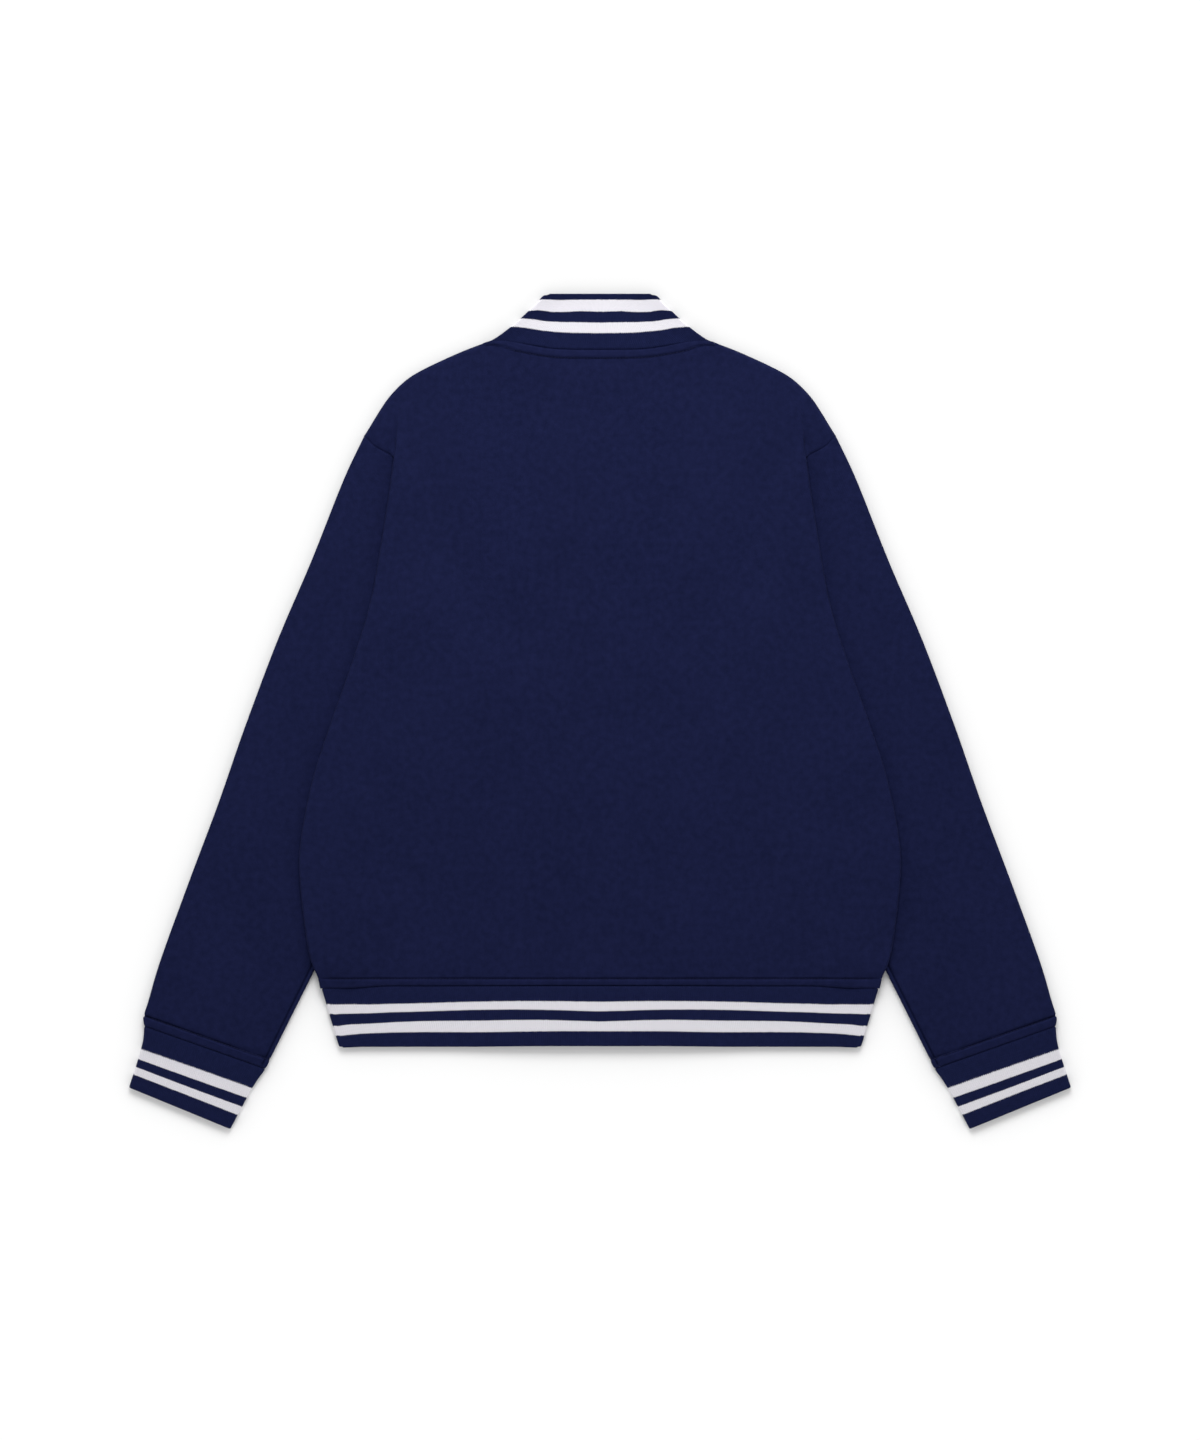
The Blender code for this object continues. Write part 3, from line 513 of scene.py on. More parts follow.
def shoulder_places(shares):
    """Points of the shoulder fold, and the directions into the panel from there."""
    places = along(SHOULDER_LINE, shares)
    run = along(SHOULDER_LINE, shares + 0.01) - along(SHOULDER_LINE, np.maximum(shares - 0.01, 0.0))
    square = unit(np.stack([run[:, 1], -run[:, 0]], axis=-1))
    down = np.array([0.0, -1.0])
    to_side = unit(SIDE_TOP - places)
    inward = blend(down, square, smooth_step(shares / 0.06)[:, None])
    return places, unit(blend(inward, to_side, smooth_step((shares - 0.88) / 0.12)[:, None]))


def body_plan(neck_y, neck_xs, neck_inset, inset, strip, fixed_x):
    """Plan of a panel's half: rows from the hem seam up to its top edge, columns outwards.

    Gives the plan, the top edge before its inset with the directions into the panel, and for each
    row how far it has come from the side (0) to the tuck (above 0).
    """
    neck = np.stack([neck_xs, neck_y(neck_xs) + OVERRUN], axis=-1)
    shares = np.concatenate([CREASE_AT * np.linspace(0.0, 1.0, SHOULDER_COLUMNS + 1),
                             blend(CREASE_AT, 1.0, STRIP_SHARES)])
    places, inward = shoulder_places(shares)
    edge = np.vstack([neck, places])
    inward = np.vstack([np.tile([0.0, -1.0], (len(neck), 1)), inward])
    insets = np.concatenate([np.full(len(neck), neck_inset), np.full(len(places), inset)])
    tops = edge + inward * insets[:, None]
    last = len(neck) + SHOULDER_COLUMNS
    flat, strip_tops = tops[:last + 1], tops[last + 1:]
    crease_top = flat[-1]

    side_ys = np.concatenate([HEM_SEAM_Y + np.array(HEM_STEPS),
                              np.linspace(HEM_SEAM_Y + 25.0, SIDE_TOP[1],
                                          int((SIDE_TOP[1] - HEM_SEAM_Y - 25.0) / BODY_ROW_STEP) + 1)])
    height = crease_top[1] - HEM_SEAM_Y
    past = 1.0 - np.array(NECK_STEPS)[::-1] / height / (1.0 - ARMHOLE_SHARE)
    past = past[past > 0.02]
    crease = curve([SIDE_TOP - [strip, 0.0], CREASE_BEND, crease_top])
    side_outer = np.stack([side_half(side_ys), side_ys], axis=-1)
    inner = np.vstack([side_outer - [strip, 0.0], along(crease, past)])
    outer = np.vstack([side_outer, blend(SIDE_TOP, tops[-1], past[:, None])])
    share = np.concatenate([ARMHOLE_SHARE * (side_ys - HEM_SEAM_Y) / (SIDE_TOP[1] - HEM_SEAM_Y),
                            blend(ARMHOLE_SHARE, 1.0, past)])
    reached = np.linalg.norm(tops[-1] - SIDE_TOP) / np.linalg.norm(SHOULDER_END - SIDE_TOP)
    outer[len(side_ys):] += TO_SLEEVE * OVERRUN + armhole_bow(past * reached)
    past = np.concatenate([np.zeros(len(side_ys)), past])

    reach = np.maximum(flat[:, 0], 0.0) / crease_top[0]
    spread = np.maximum(flat[:, 0] - fixed_x, 0.0) / (crease_top[0] - fixed_x)
    x = np.minimum(flat[:, 0], fixed_x) + spread * (inner[:, :1] - fixed_x)
    y = blend(HEM_SEAM_Y, flat[:, 1], share[:, None])
    y = y + reach * (inner[:, 1:] - blend(HEM_SEAM_Y, crease_top[1], share[:, None]))
    plan = np.stack([x, y], axis=-1)
    return plan, inner, outer, strip_tops, tops, edge, inward, past


def strip_plan(inner, outer, strip_tops, crease_top, past, side_shares):
    """Plan of the columns between the tuck, or the side fold's start, and the panel's edge."""
    shares = np.where(past[:, None] > 0.0, STRIP_SHARES, side_shares)
    places = inner[:, None] + (outer - inner)[:, None] * shares[..., None]
    bulge = strip_tops - blend(crease_top, strip_tops[-1], STRIP_SHARES[:, None])
    return places + bulge * past[:, None, None]


def both_halves(half):
    return np.concatenate([half[:, :0:-1] * [-1.0, 1.0, 1.0], half], axis=1)


def line_of(height, start, end):
    """Points of a height's curve between two places across the jacket."""
    x = np.linspace(start, end, 60)
    return np.stack([x, height(x)], axis=-1)


NECK_SEAM_LINE = line_of(back_neck_y, -118.0, 118.0)
FRONT_NECK_LINE = line_of(front_neck_y, -LAP, 112.0)
TACKS = ((-26.6, 345.6), (26.0, 345.8))     # where a tape inside the neck is tacked through
TACK_DEPTH = 1.3
TACK_HALF_SIZE = (1.5, 4.0)                 # of the dent, across and along the back
TACK_STITCHES = (-2.4, -1.2, 0.0, 1.2, 2.4)
TACK_STITCH_HALF = 1.6


def make_back(finish):
    angles = np.radians(np.linspace(0.0, 90.0, len(STRIP_SHARES) + 1)[1:])
    neck_xs = NECK_HALF * np.arange(NECK_COLUMNS) / NECK_COLUMNS
    plan, inner, outer, strip_tops, tops, edge, inward, past = body_plan(
        back_neck_y, neck_xs, EDGE_RADIUS, EDGE_RADIUS, EDGE_RADIUS, 0.0)
    strip = strip_plan(inner, outer, strip_tops, plan[-1, -1], past, np.sin(angles))
    flat_z = back_top(plan[..., 0], plan[..., 1]) + tuck(plan[..., 0], plan[..., 1])

    inner_x, inner_y = inner[:, :1], inner[:, 1:]
    top_z = back_top(inner_x, inner_y) + tuck(inner_x, inner_y)
    turn = top_z - climb(inner_x, inner_y, FRONT_RAMP) - 1.5 * SEAM
    rounded = 1.0 - 0.5 * smooth_step((inner_y - SIDE_TOP[1] + 15.0) / 15.0)
    side_z = top_z - (1.0 - np.cos(angles)) * rounded * turn
    width = np.linalg.norm(outer - inner, axis=-1)[:, None]
    fall = blend(FOLD_FALL[0], FOLD_FALL[1], smooth_step(past / 0.95)[:, None] ** 3)
    raised = back_top(strip[..., 0], strip[..., 1]) + tuck(strip[..., 0], strip[..., 1])
    lead = FOLD_LEAD * smooth_step(1.0 - past / 0.3)[:, None]
    beyond_z = blend(BODY_STACK, raised, smooth_step(1.0 - (width * STRIP_SHARES - lead) / fall))
    strip_z = blend(side_z, beyond_z, smooth_step(past / FOLD_TURN)[:, None])
    flat = np.concatenate([np.dstack([plan, flat_z]), np.dstack([strip, strip_z])], axis=1)

    curl = []
    edge_x, edge_y = tops[:, 0], tops[:, 1]
    drop = (back_top(edge_x, edge_y) - climb(edge_x, edge_y, FRONT_RAMP) - 1.5 * SEAM)
    shares = np.concatenate([np.zeros(NECK_COLUMNS),
                             np.minimum(1.0, np.linspace(0.0, 1.0, len(tops) - NECK_COLUMNS) * 12.0)])
    eased = edge - inward * EDGE_EASE * shares[:, None]
    for angle in np.radians((12, 26, 40, 54, 68, 80, 90)):
        place = blend(tops, eased, math.sin(angle))
        place[-1] += TO_SLEEVE * OVERRUN
        z = flat[-1, :, 2] - drop * (1.0 - math.cos(angle)) * shares
        curl.append(np.column_stack([place, z]))
    half = np.concatenate([flat, np.array(curl)])
    base = both_halves(half)

    x, y = base[..., 0], base[..., 1]
    y[...] = sagged(x, y)
    from_neck = distance_to(NECK_SEAM_LINE, x, y)
    from_hem = y - HEM_SEAM_Y
    seams = pressed_seam(from_neck, x, neck_band(x), neck_roll(x))
    seams = seams + hem_seam(x, from_hem)
    armhole = distance_to(HEAD_LINE, np.abs(x), y)
    base[..., 2] -= ARMHOLE_ROLL * swell(armhole / EDGE_ROLL_WIDTH) * (y > SIDE_TOP[1])
    free = smooth_step((np.minimum(from_neck, from_hem) - BAND) / SETTLE)
    relief = seams * facing_up(base) + folds_height(BACK_FOLDS, x, y) * free
    relief = relief + gathers_height(x, from_hem - HEM_BAND)
    across, down = TACK_HALF_SIZE
    for tack_x, tack_y in TACKS:
        relief = relief - TACK_DEPTH * swell((x - tack_x) / across) * swell((y - tack_y) / down)
    return shell("back_panel", base, np.dstack([x, y]), FLEECE, relief, np.zeros(x.shape), finish)


def make_front(name, side, lap_height, finish):
    """A front on this side of the centre line. Its edge there lies this high on the other front."""
    neck_xs = np.concatenate([np.linspace(-LAP, LAP + LAP_RAMP, 22), np.linspace(39.0, 102.0, 20)])
    plan, inner, outer, strip_tops, tops, _, _, past = body_plan(
        front_neck_y, neck_xs, 0.0, FRONT_INSET, FRONT_STRIP, LAP + LAP_RAMP)
    rounded = np.where(past > 0.0, 0.0, np.where(outer[:, 1] < SIDE_TOP[1], 1.0, 0.5))
    outer = outer - np.column_stack([FRONT_INSET * np.minimum(1.0, 4 * rounded), np.zeros(len(past))])
    strip = strip_plan(inner, outer, strip_tops, plan[-1, -1], past, STRIP_SHARES)
    places = np.concatenate([plan, strip], axis=1)
    x, y = places[..., 0], places[..., 1]
    z = climb(x, y, FRONT_RAMP) + lap_height * smooth_step((LAP + LAP_RAMP - x) / LAP_RAMP)
    dropped = smooth_step(past / FOLD_TURN)[:, None] * smooth_step(2.0 * STRIP_SHARES)
    z[:, -len(STRIP_SHARES):] *= 1.0 - dropped
    y = sagged(x, y)
    base = np.dstack([side * x, y, z])
    from_neck = distance_to(FRONT_NECK_LINE, x, y)
    from_hem = y - HEM_SEAM_Y
    from_lap = x + LAP
    relief = pressed_seam(from_neck, x) + hem_seam(x, from_hem)
    relief = relief - GROOVE * swell((from_lap - BAND) / GROOVE_WIDTH) - BAND_LIFT
    free = smooth_step((np.minimum(from_neck, from_hem) - BAND) / SETTLE)
    relief = relief + np.minimum(folds_height(FRONT_FOLDS, x, y), 0.0) * free
    relief = relief + gathers_height(side * x, from_hem - HEM_BAND)
    roll = edge_roll(from_lap, FLEECE)
    return shell(name, base, np.dstack([side * x, y]), FLEECE, np.minimum(relief, 0.0), roll, finish,
                 flip=side > 0)


# ---------------------------------------------------------------- sleeves and cuffs

SLEEVE_ACROSS = 24          # columns across a sleeve, besides those at its folds
SLEEVE_ROWS = 74
FOLD_ANGLES = np.radians(np.linspace(90.0, -90.0, 11))
NEAR_FOLD = np.array([0.0, 0.5, 1.0, 1.5, 2.1, 3.2, 6.0])
NEAR_CORNER = np.array([-30.0, -28.0, -26.0, -23.5, -21.0, -18.5, -16.0, -13.5, -11.0, -8.5, -6.0, -3.5,
                        -1.8, -0.7, 0.0, 0.7, 1.8, 3.5, 6.0])
CORNER_ROOM = (7.0, 31.0)   # kept free at the outer fold, and taken by the corner's outer columns
CLOTH_LENGTH = 640.0        # of a sleeve on its cloth map
MAP_ROW = 40                # the row of a sleeve that its cloth map's width is measured on


def flat_tube(line, stack, columns, corner=None):
    """Closed section of a flattened tube over a plan line that runs from its outer to inner edge.

    A corner is a share of the line's length that has columns close together.
    """
    radius = stack / 2
    ends = EDGE_EASE * unit(line[[0, -1]] - line[[1, -2]])
    line = np.vstack([line[0] + ends[0], line[1:-1], line[-1] + ends[1]])
    length = lengths_along(line)[-1]
    room = length - 2 * radius
    middle = np.linspace(9.0, room - 9.0, columns)
    across = np.concatenate([NEAR_FOLD, middle, room - NEAR_FOLD])
    if corner:
        reach = corner * length - radius
        squeeze = min(1.0, (reach - CORNER_ROOM[0]) / CORNER_ROOM[1])
        near = np.where(NEAR_CORNER < 0.0, squeeze, 1.0) * NEAR_CORNER
        across = np.concatenate([across, reach + near])
    across = np.sort(across)
    flat = at_lengths(line, radius + across)
    ends = unit(at_lengths(line, [radius, length - radius]) - line[[0, -1]])
    top = np.column_stack([flat, np.full(len(flat), stack)])
    low = np.column_stack([flat[::-1], np.zeros(len(flat))])
    rounds = []
    for tip, inward, angles in ((line[-1], ends[1], FOLD_ANGLES[1:-1]),
                                (line[0], ends[0], FOLD_ANGLES[-2:0:-1])):
        out = tip + inward * radius * (1.0 - np.cos(angles))[:, None]
        rounds.append(np.column_stack([out, radius * (1.0 + np.sin(angles))]))
    return np.concatenate([top, rounds[0], low, rounds[1]])


def sleeve_grid():
    """Rows of a sleeve from the armhole seam to the cuff seam, and each row's share of the way."""
    side_ys = np.array([231.0, 219.0, 207.0])
    side_run = np.column_stack([side_half(side_ys) + TOUCH, side_ys])
    head = np.vstack([HEAD_LINE[::-1] + TO_SLEEVE * TOUCH, side_run, ARMHOLE_LINE[1:]])
    length = lengths_along(OUTER_LINE)[-1]
    near_head = np.array([0.0, 0.4, 0.9, 1.6, 2.6, 4.2, 6.5, 10.0, 15.0])
    near_cuff = CUFF_BAND + np.array([8.0, 5.0, 3.0, 1.9, 1.2, 0.7, 0.35, 0.0, -0.35, -0.7, -1.2, -2.2,
                                      -4.0, -6.0, -7.5, -8.2, -8.65, -9.0])
    middle = np.linspace(22.0, length - CUFF_BAND - 13.0, SLEEVE_ROWS)
    parts = np.concatenate([near_head, middle, length - near_cuff]) / length
    corner = lengths_along(HEAD_LINE)[-1] / lengths_along(head)[-1]
    stops = np.sort(np.append(np.linspace(0.0, 1.0, 60), corner))[:, None]
    shape = along(head, stops[:, 0])
    rows = []
    for part in parts:
        outer = along(OUTER_LINE, part) if part > 0.0 else shape[0]
        inner = along(INNER_LINE, part) if part > 0.0 else shape[-1]
        section = blend(outer, inner, stops) + (shape - blend(shape[0], shape[-1], stops)) * (1.0 - part)
        rows.append(flat_tube(section, BODY_STACK, SLEEVE_ACROSS, corner))
    return np.array(rows), parts


def make_sleeve(name, side, finish):
    base, parts = sleeve_grid()
    x, y, z = base[..., 0], base[..., 1], base[..., 2]
    cuff_seam = np.array([OUTER_LINE[-1], INNER_LINE[-1]])
    cuff_line = np.array([blend(cuff_seam[0], cuff_seam[1], -0.2), blend(cuff_seam[0], cuff_seam[1], 1.2)])
    from_cuff = distance_to(cuff_line, x, y)
    from_head = distance_to(HEAD_LINE, x, y)
    across = blend(cuff_seam[0], cuff_seam[1], 0.5) - np.stack([x, y], axis=-1)
    run = np.sum(across * unit(cuff_seam[1] - cuff_seam[0]), axis=-1)
    from_inner = distance_to(INNER_LINE, x, y)
    upper = smooth_step((z - 0.3 * BODY_STACK) / (0.5 * BODY_STACK))
    relief = pressed_seam(from_cuff, run, CUFF_BAND, 0.8, 1.5)
    relief = relief - ARMHOLE_ROLL * swell(from_head / EDGE_ROLL_WIDTH)
    underarm = swell((from_inner - UNDERARM_SEAM) / 1.0) * upper * smooth_step(from_cuff / 3.0)
    relief = relief * facing_up(base, closed=True) - UNDERARM_DEPTH * underarm
    open_cloth = smooth_step((x - side_half(y) - 6.0) / 22.0) * smooth_step((from_cuff - CUFF_BAND) / 18.0)
    open_cloth = open_cloth * smooth_step((from_inner - 7.0) / 12.0)
    relief = relief + folds_height(SLEEVE_FOLDS, x, y) * open_cloth * upper
    lower = 1.0 - upper
    flat_below = np.minimum(relief - BAND_LIFT, 0.0)
    relief = upper * relief + lower * flat_below
    ring = lengths_along(base[MAP_ROW])
    cloth_map = np.dstack([np.tile(ring, (len(parts), 1)),
                           np.tile((parts * CLOTH_LENGTH)[:, None], (1, len(ring)))])
    base = base * [side, 1.0, 1.0]
    return shell(name, base, cloth_map, FLEECE, relief, np.zeros(x.shape), finish, flip=side < 0,
                 closed=True)


def rib_relief(columns):
    """Relief of the ribs, at each of the columns that run along them."""
    heights = np.tile(RIB_SAMPLES, columns // len(RIB_SAMPLES))
    return -RIB_DEPTH * (1.0 - heights)


def stripe_steps(rows, places):
    """Shares of the way from seam to folded edge where rows of points lie, for each column.

    rows are StripeRow values, and places say where each column is among them. The stripes' four
    edges have a row each.
    """
    table = curve(rows)
    edges = [np.interp(places, table[:, 0], table[:, k]) for k in (4, 3, 2, 1)]
    stops = [np.zeros(len(places))] + [1.0 - edge for edge in edges] + [np.ones(len(places))]
    shares = []
    marks = []
    near_seam = (0.0, 0.03, 0.08, 0.16, 0.32, 0.62)
    near_edge = (0.0, 0.35, 0.65, 0.82, 0.91, 0.96, 0.985)
    for k, (start, end) in enumerate(zip(stops, stops[1:])):
        for part in near_seam if k == 0 else near_edge if k == 4 else (0.0, 0.5):
            shares.append(blend(start, end, part))
            marks.append(k + part)
    shares.append(stops[-1])
    marks.append(5.0)
    return np.array(shares), np.array(marks)


def rib_shell(name, base, marks, finish, flip=False, closed=False, rolled=1.0):
    """A rib piece: rows from its seam to its folded edge, columns along its ribs' samples."""
    columns = base.shape[1]
    run = np.broadcast_to(np.linalg.norm(base - base[:1], axis=-1), base.shape[:2])
    from_edge = np.linalg.norm(base - base[-1:], axis=-1)
    relief = np.tile(rib_relief(columns), (len(marks), 1))
    relief = relief * smooth_step(from_edge / 1.2 + 0.25)
    relief = relief - SEAM_ROLL * rolled * swell(run / EDGE_ROLL_WIDTH)
    roll = edge_roll(from_edge, RIB)
    cloth_map = np.dstack([np.tile(np.arange(columns) / len(RIB_SAMPLES), (len(marks), 1)),
                           np.tile(marks[:, None], (1, columns))])
    return shell(name, base, cloth_map, RIB, relief, roll, finish, flip=flip, closed=closed)


def make_cuff(name, side, finish):
    outer_line, inner_line = curve(CUFF_OUTER), curve(CUFF_INNER)
    sections = []
    samples = None
    for part in np.linspace(0.0, 1.0, 20):
        line = np.array([along(outer_line, part), along(inner_line, part)])
        ring = flat_tube(line, RIB_STACK, 20)
        ring = np.vstack([ring, ring[:1]])
        if samples is None:
            samples = len(RIB_SAMPLES) * round(lengths_along(ring)[-1] / RIB_PITCH)
        sections.append(along(ring, np.arange(samples) / samples))
    sections = np.array(sections)
    seam_run = inner_line[0] - outer_line[0]
    places = np.clip((sections[0, :, :2] - outer_line[0]) @ seam_run / (seam_run @ seam_run), 0.0, 1.0)
    shares, marks = stripe_steps(CUFF_STRIPES, places)
    along_cuff = shares * (len(sections) - 1)
    below = np.minimum(along_cuff.astype(int), len(sections) - 2)
    column = np.arange(samples)[None, :]
    base = blend(sections[below, column], sections[below + 1, column], (along_cuff - below)[..., None])
    base = base * [side, 1.0, 1.0]
    return rib_shell(name, base, marks, finish, flip=side < 0, closed=True)


# ---------------------------------------------------------------- collar and hem band

def even_columns(path):
    """Stations along a band, four to a rib: seam x y, edge x y, rise, and which layer it is."""
    table = np.array(path)
    count = len(RIB_SAMPLES) * round(lengths_along(table[:, :2])[-1] / RIB_PITCH)
    run = lengths_along(table[:, [0, 1, 4]])
    wanted = np.linspace(0.0, run[-1], count)
    return np.stack([np.interp(wanted, run, table[:, k]) for k in range(table.shape[1])], axis=-1)


def side_fold(seam_corner, edge_corner, outward, radius):
    """Stations round a band's side fold, from its under layer (0) to its upper one (1)."""
    rows = []
    for angle in np.radians(np.linspace(-90.0, 90.0, 19)):
        inward = -outward * radius * (1.0 - math.cos(angle))
        rows.append([*(seam_corner + inward), *(edge_corner + inward), radius * (1.0 + math.sin(angle)),
                     0.5 + 0.5 * math.sin(angle)])
    return rows


def turned_over(path):
    """The same stations on the other side of the centre line."""
    return [[-row[0], row[1], -row[2], *row[3:]] for row in path]


def make_collar(finish):
    radius = RIB_STACK / 2
    top_corner = np.array([COLLAR_TOP_HALF + EDGE_EASE, COLLAR_TOP_Y])
    neck_corner = np.array([NECK_HALF + 2 * EDGE_EASE, NECK_POINT_Y + 2 * TOUCH])
    fold = side_fold(neck_corner, top_corner, np.array([1.0, 0.0]), radius)
    fold_x, fold_edge_x = fold[0][0], fold[0][2]
    path = []
    for x in np.linspace(0.3, fold_x - 1.0, 60):
        share = x / NECK_HALF
        path.append([x, front_neck_y(x) + TOUCH, blend(0.3, fold_edge_x, share),
                     blend(COLLAR_FRONT_TOP_Y, COLLAR_TOP_Y, share), 0.0, 0.0])
    path += fold
    for x in np.linspace(fold_x - 1.0, 0.0, 60):
        path.append([x, back_neck_y(x) + TOUCH, fold_edge_x * x / fold_x, COLLAR_TOP_Y, RIB_STACK, 1.0])
    path += turned_over(path[-2::-1])
    stations = even_columns(path)
    seam, edge, rise, upper = stations[:, :2], stations[:, 2:4], stations[:, 4], stations[:, 5]
    across = np.clip(np.abs(seam[:, 0]) / fold_x, 0.0, 1.0)
    shares, marks = stripe_steps(COLLAR_STRIPES, across)
    plan = blend(seam, edge, shares[..., None])
    bow = COLLAR_SIDE_BOW * shares ** COLLAR_BOW_RISE * (1.0 - shares) * smooth_step((across - 0.55) / 0.45)
    plan[..., 0] -= np.sign(seam[:, 0]) * bow
    corner = smooth_step((across - 0.95) / 0.05) * smooth_step(shares * 18.0 - 17.0)
    plan[..., 0] -= np.sign(seam[:, 0]) * COLLAR_CORNERS[0] * corner
    plan[..., 1] -= COLLAR_CORNERS[1] * corner
    base = np.dstack([plan, np.broadcast_to(rise, shares.shape)])
    return rib_shell("rib_collar", base, marks, finish, flip=True, rolled=neck_roll(seam[:, 0]))


def make_hem_band(finish):
    radius = RIB_STACK / 2
    lap_height = RIB + SEAM
    seam_y = HEM_SEAM_Y - TOUCH
    seam_half = HEM_SEAM_HALF - radius
    edge_half = HEM_END_HALF - radius

    def edge_y(x):
        return HEM_END_Y - np.interp(abs(x), *np.transpose(HEM_SAG))

    def flat_run(start, end, count, rise, layer):
        rows = []
        for x in np.linspace(start, end, count):
            taper = smooth_step((abs(x) - LAP - LAP_RAMP) / 60.0)
            edge_x = blend(x, x * edge_half / seam_half, float(taper))
            rows.append([x, seam_y - hem_sag(x), edge_x, edge_y(edge_x), rise, layer])
        return rows

    run = unit(np.array([HEM_END_HALF - HEM_SEAM_HALF, HEM_END_Y - HEM_SEAM_Y]))
    outward = np.array([-run[1], run[0]])
    seam_corner = np.array([HEM_SEAM_HALF - HEM_CORNERS, seam_y - HEM_SEAM_SAG[1]]) + outward * EDGE_EASE
    edge_corner = np.array([HEM_END_HALF, edge_y(HEM_END_HALF)]) + outward * EDGE_EASE
    right = side_fold(seam_corner, edge_corner, outward, radius)
    left = turned_over(right)
    path = flat_run(LAP, -seam_half + 1.0, 140, 0.0, 0.0) + left
    path += flat_run(-seam_half + 1.0, seam_half - 1.0, 260, RIB_STACK, 1.0) + right[::-1]
    path += flat_run(seam_half - 1.0, -LAP, 140, 0.0, -1.0)
    stations = even_columns(path)
    seam, edge, rise, layer = stations[:, :2], stations[:, 2:4], stations[:, 4], stations[:, 5]
    shares, marks = stripe_steps(HEM_STRIPES, np.abs(seam[:, 0]))
    plan = blend(seam, edge, shares[..., None])
    x, y = plan[..., 0], plan[..., 1]
    corner = smooth_step((np.abs(x) - HEM_END_HALF + 4.0) / 5.0) * smooth_step(shares * 10 - 9)
    on_lap = smooth_step((LAP + LAP_RAMP - x) / LAP_RAMP) * (seam[:, 0] > -LAP - 1.0) * (layer < -0.5)
    over_lap = (lap_height - SEAM) / LAP_RISE * lap_rise(x, y) * (layer > 0.95)
    z = rise + climb(x, y, FRONT_RAMP) + on_lap * lap_height + over_lap
    plan[..., 1] += HEM_CORNERS * corner
    base = np.dstack([plan, z])
    return rib_shell("rib_hem_band", base, marks, finish, flip=True)


# ---------------------------------------------------------------- stitches

STITCH_SIDES = 6
STITCH_RINGS = ((-1.0, 0.25), (-0.6, 0.9), (0.6, 0.9), (1.0, 0.25))     # place along, and girth


def stitch_rows(name, lines, finish):
    """One mesh of stitches along lines of points, each with the direction that faces out of the cloth."""
    points, faces = [], []
    turns = np.linspace(0.0, 2 * math.pi, STITCH_SIDES, endpoint=False)
    ring = np.arange(STITCH_SIDES)
    for line, out in lines:
        total = lengths_along(line)[-1]
        count = int(total / STITCH_PITCH)
        middles = (np.arange(count) + 0.5) * total / count
        places = at_lengths(line, middles)
        runs = unit(at_lengths(line, middles + 0.6) - at_lengths(line, middles - 0.6))
        for place, run in zip(places, runs):
            side = unit(np.cross(out, run))
            first = len(points)
            for step, girth in STITCH_RINGS:
                centre = place + run * step * STITCH_LENGTH / 2 - np.array(out) * 0.25 * abs(step) ** 3
                for turn in turns:
                    points.append(centre + side * math.cos(turn) * girth * STITCH_WIDTH / 2
                                  + np.array(out) * math.sin(turn) * girth * STITCH_HEIGHT)
            for level in range(len(STITCH_RINGS) - 1):
                low = first + level * STITCH_SIDES + ring
                far = first + level * STITCH_SIDES + (ring + 1) % STITCH_SIDES
                faces += np.stack([low, far, far + STITCH_SIDES, low + STITCH_SIDES], axis=-1).tolist()
            faces.append((first + ring[::-1]).tolist())
            faces.append((first + ring + STITCH_SIDES * (len(STITCH_RINGS) - 1)).tolist())
    return add_piece(name, np.array(points) * MM, faces, finish)


UP, DOWN = (0.0, 0.0, 1.0), (0.0, 0.0, -1.0)
STITCH_SINK = 0.6      # how far a stitch's middle lies under the plain surface


def back_stitches(finish):
    x = np.linspace(-94.0, 94.0, 90)
    y = back_neck_y(x) - neck_band(x) * np.hypot(1.0, np.gradient(back_neck_y(x), x))
    neck = np.column_stack([x, y, back_top(x, y) - STITCH_SINK])
    x = np.linspace(-263.0, 263.0, 200)
    y = np.full(len(x), HEM_SEAM_Y + HEM_BAND)
    hem = np.column_stack([x, y, back_top(x, y) - STITCH_SINK])
    bars = []
    for tack_x, tack_y in TACKS:
        for step in TACK_STITCHES:
            row = np.array([[tack_x + way * TACK_STITCH_HALF, tack_y + step] for way in (-1, 1)])
            bars.append((np.column_stack([row, back_top(row[:, 0], row[:, 1]) + 0.1]), UP))
    return stitch_rows("back_stitches", [(neck, UP), (hem, UP)] + bars, finish)


def front_stitches(name, side, lap_height, finish):
    lines = []

    def add(x, y):
        z = climb(x, y, FRONT_RAMP) + lap_height * smooth_step((LAP + LAP_RAMP - x) / LAP_RAMP)
        lines.append((np.column_stack([side * x, y, z + STITCH_SINK + 0.45]), DOWN))

    x = np.linspace(-LAP + BAND, 96.0, 60)
    slope = np.gradient(front_neck_y(x), x)
    add(x + BAND * slope / np.hypot(1.0, slope), front_neck_y(x) - BAND / np.hypot(1.0, slope))
    x = np.linspace(-LAP + 1.0, 264.0, 120)
    add(x, np.full(len(x), HEM_SEAM_Y + HEM_BAND))
    y = np.linspace(HEM_SEAM_Y + 1.0, FRONT_NECK_Y - 1.0, 150)
    add(np.full(len(y), -LAP + BAND), y)
    return stitch_rows(name, lines, finish)


def sleeve_stitches(name, side, finish):
    start, end = OUTER_LINE[-1], INNER_LINE[-1]
    run = unit(end - start)
    up = np.array([-run[1], run[0]])
    up = up if up[1] > 0 else -up
    length = np.linalg.norm(end - start)
    lines = []
    for z, out in ((BODY_STACK - STITCH_SINK, UP), (STITCH_SINK + 0.35, DOWN)):
        ends = np.array([start + run * 4.0 + up * CUFF_BAND, start + run * (length + 1.0) + up * CUFF_BAND])
        line = np.column_stack([along(ends, np.linspace(0.0, 1.0, 30)), np.full(30, z)])
        lines.append((line * [side, 1.0, 1.0], out))
    return stitch_rows(name, lines, finish)


# ---------------------------------------------------------------- snap fasteners

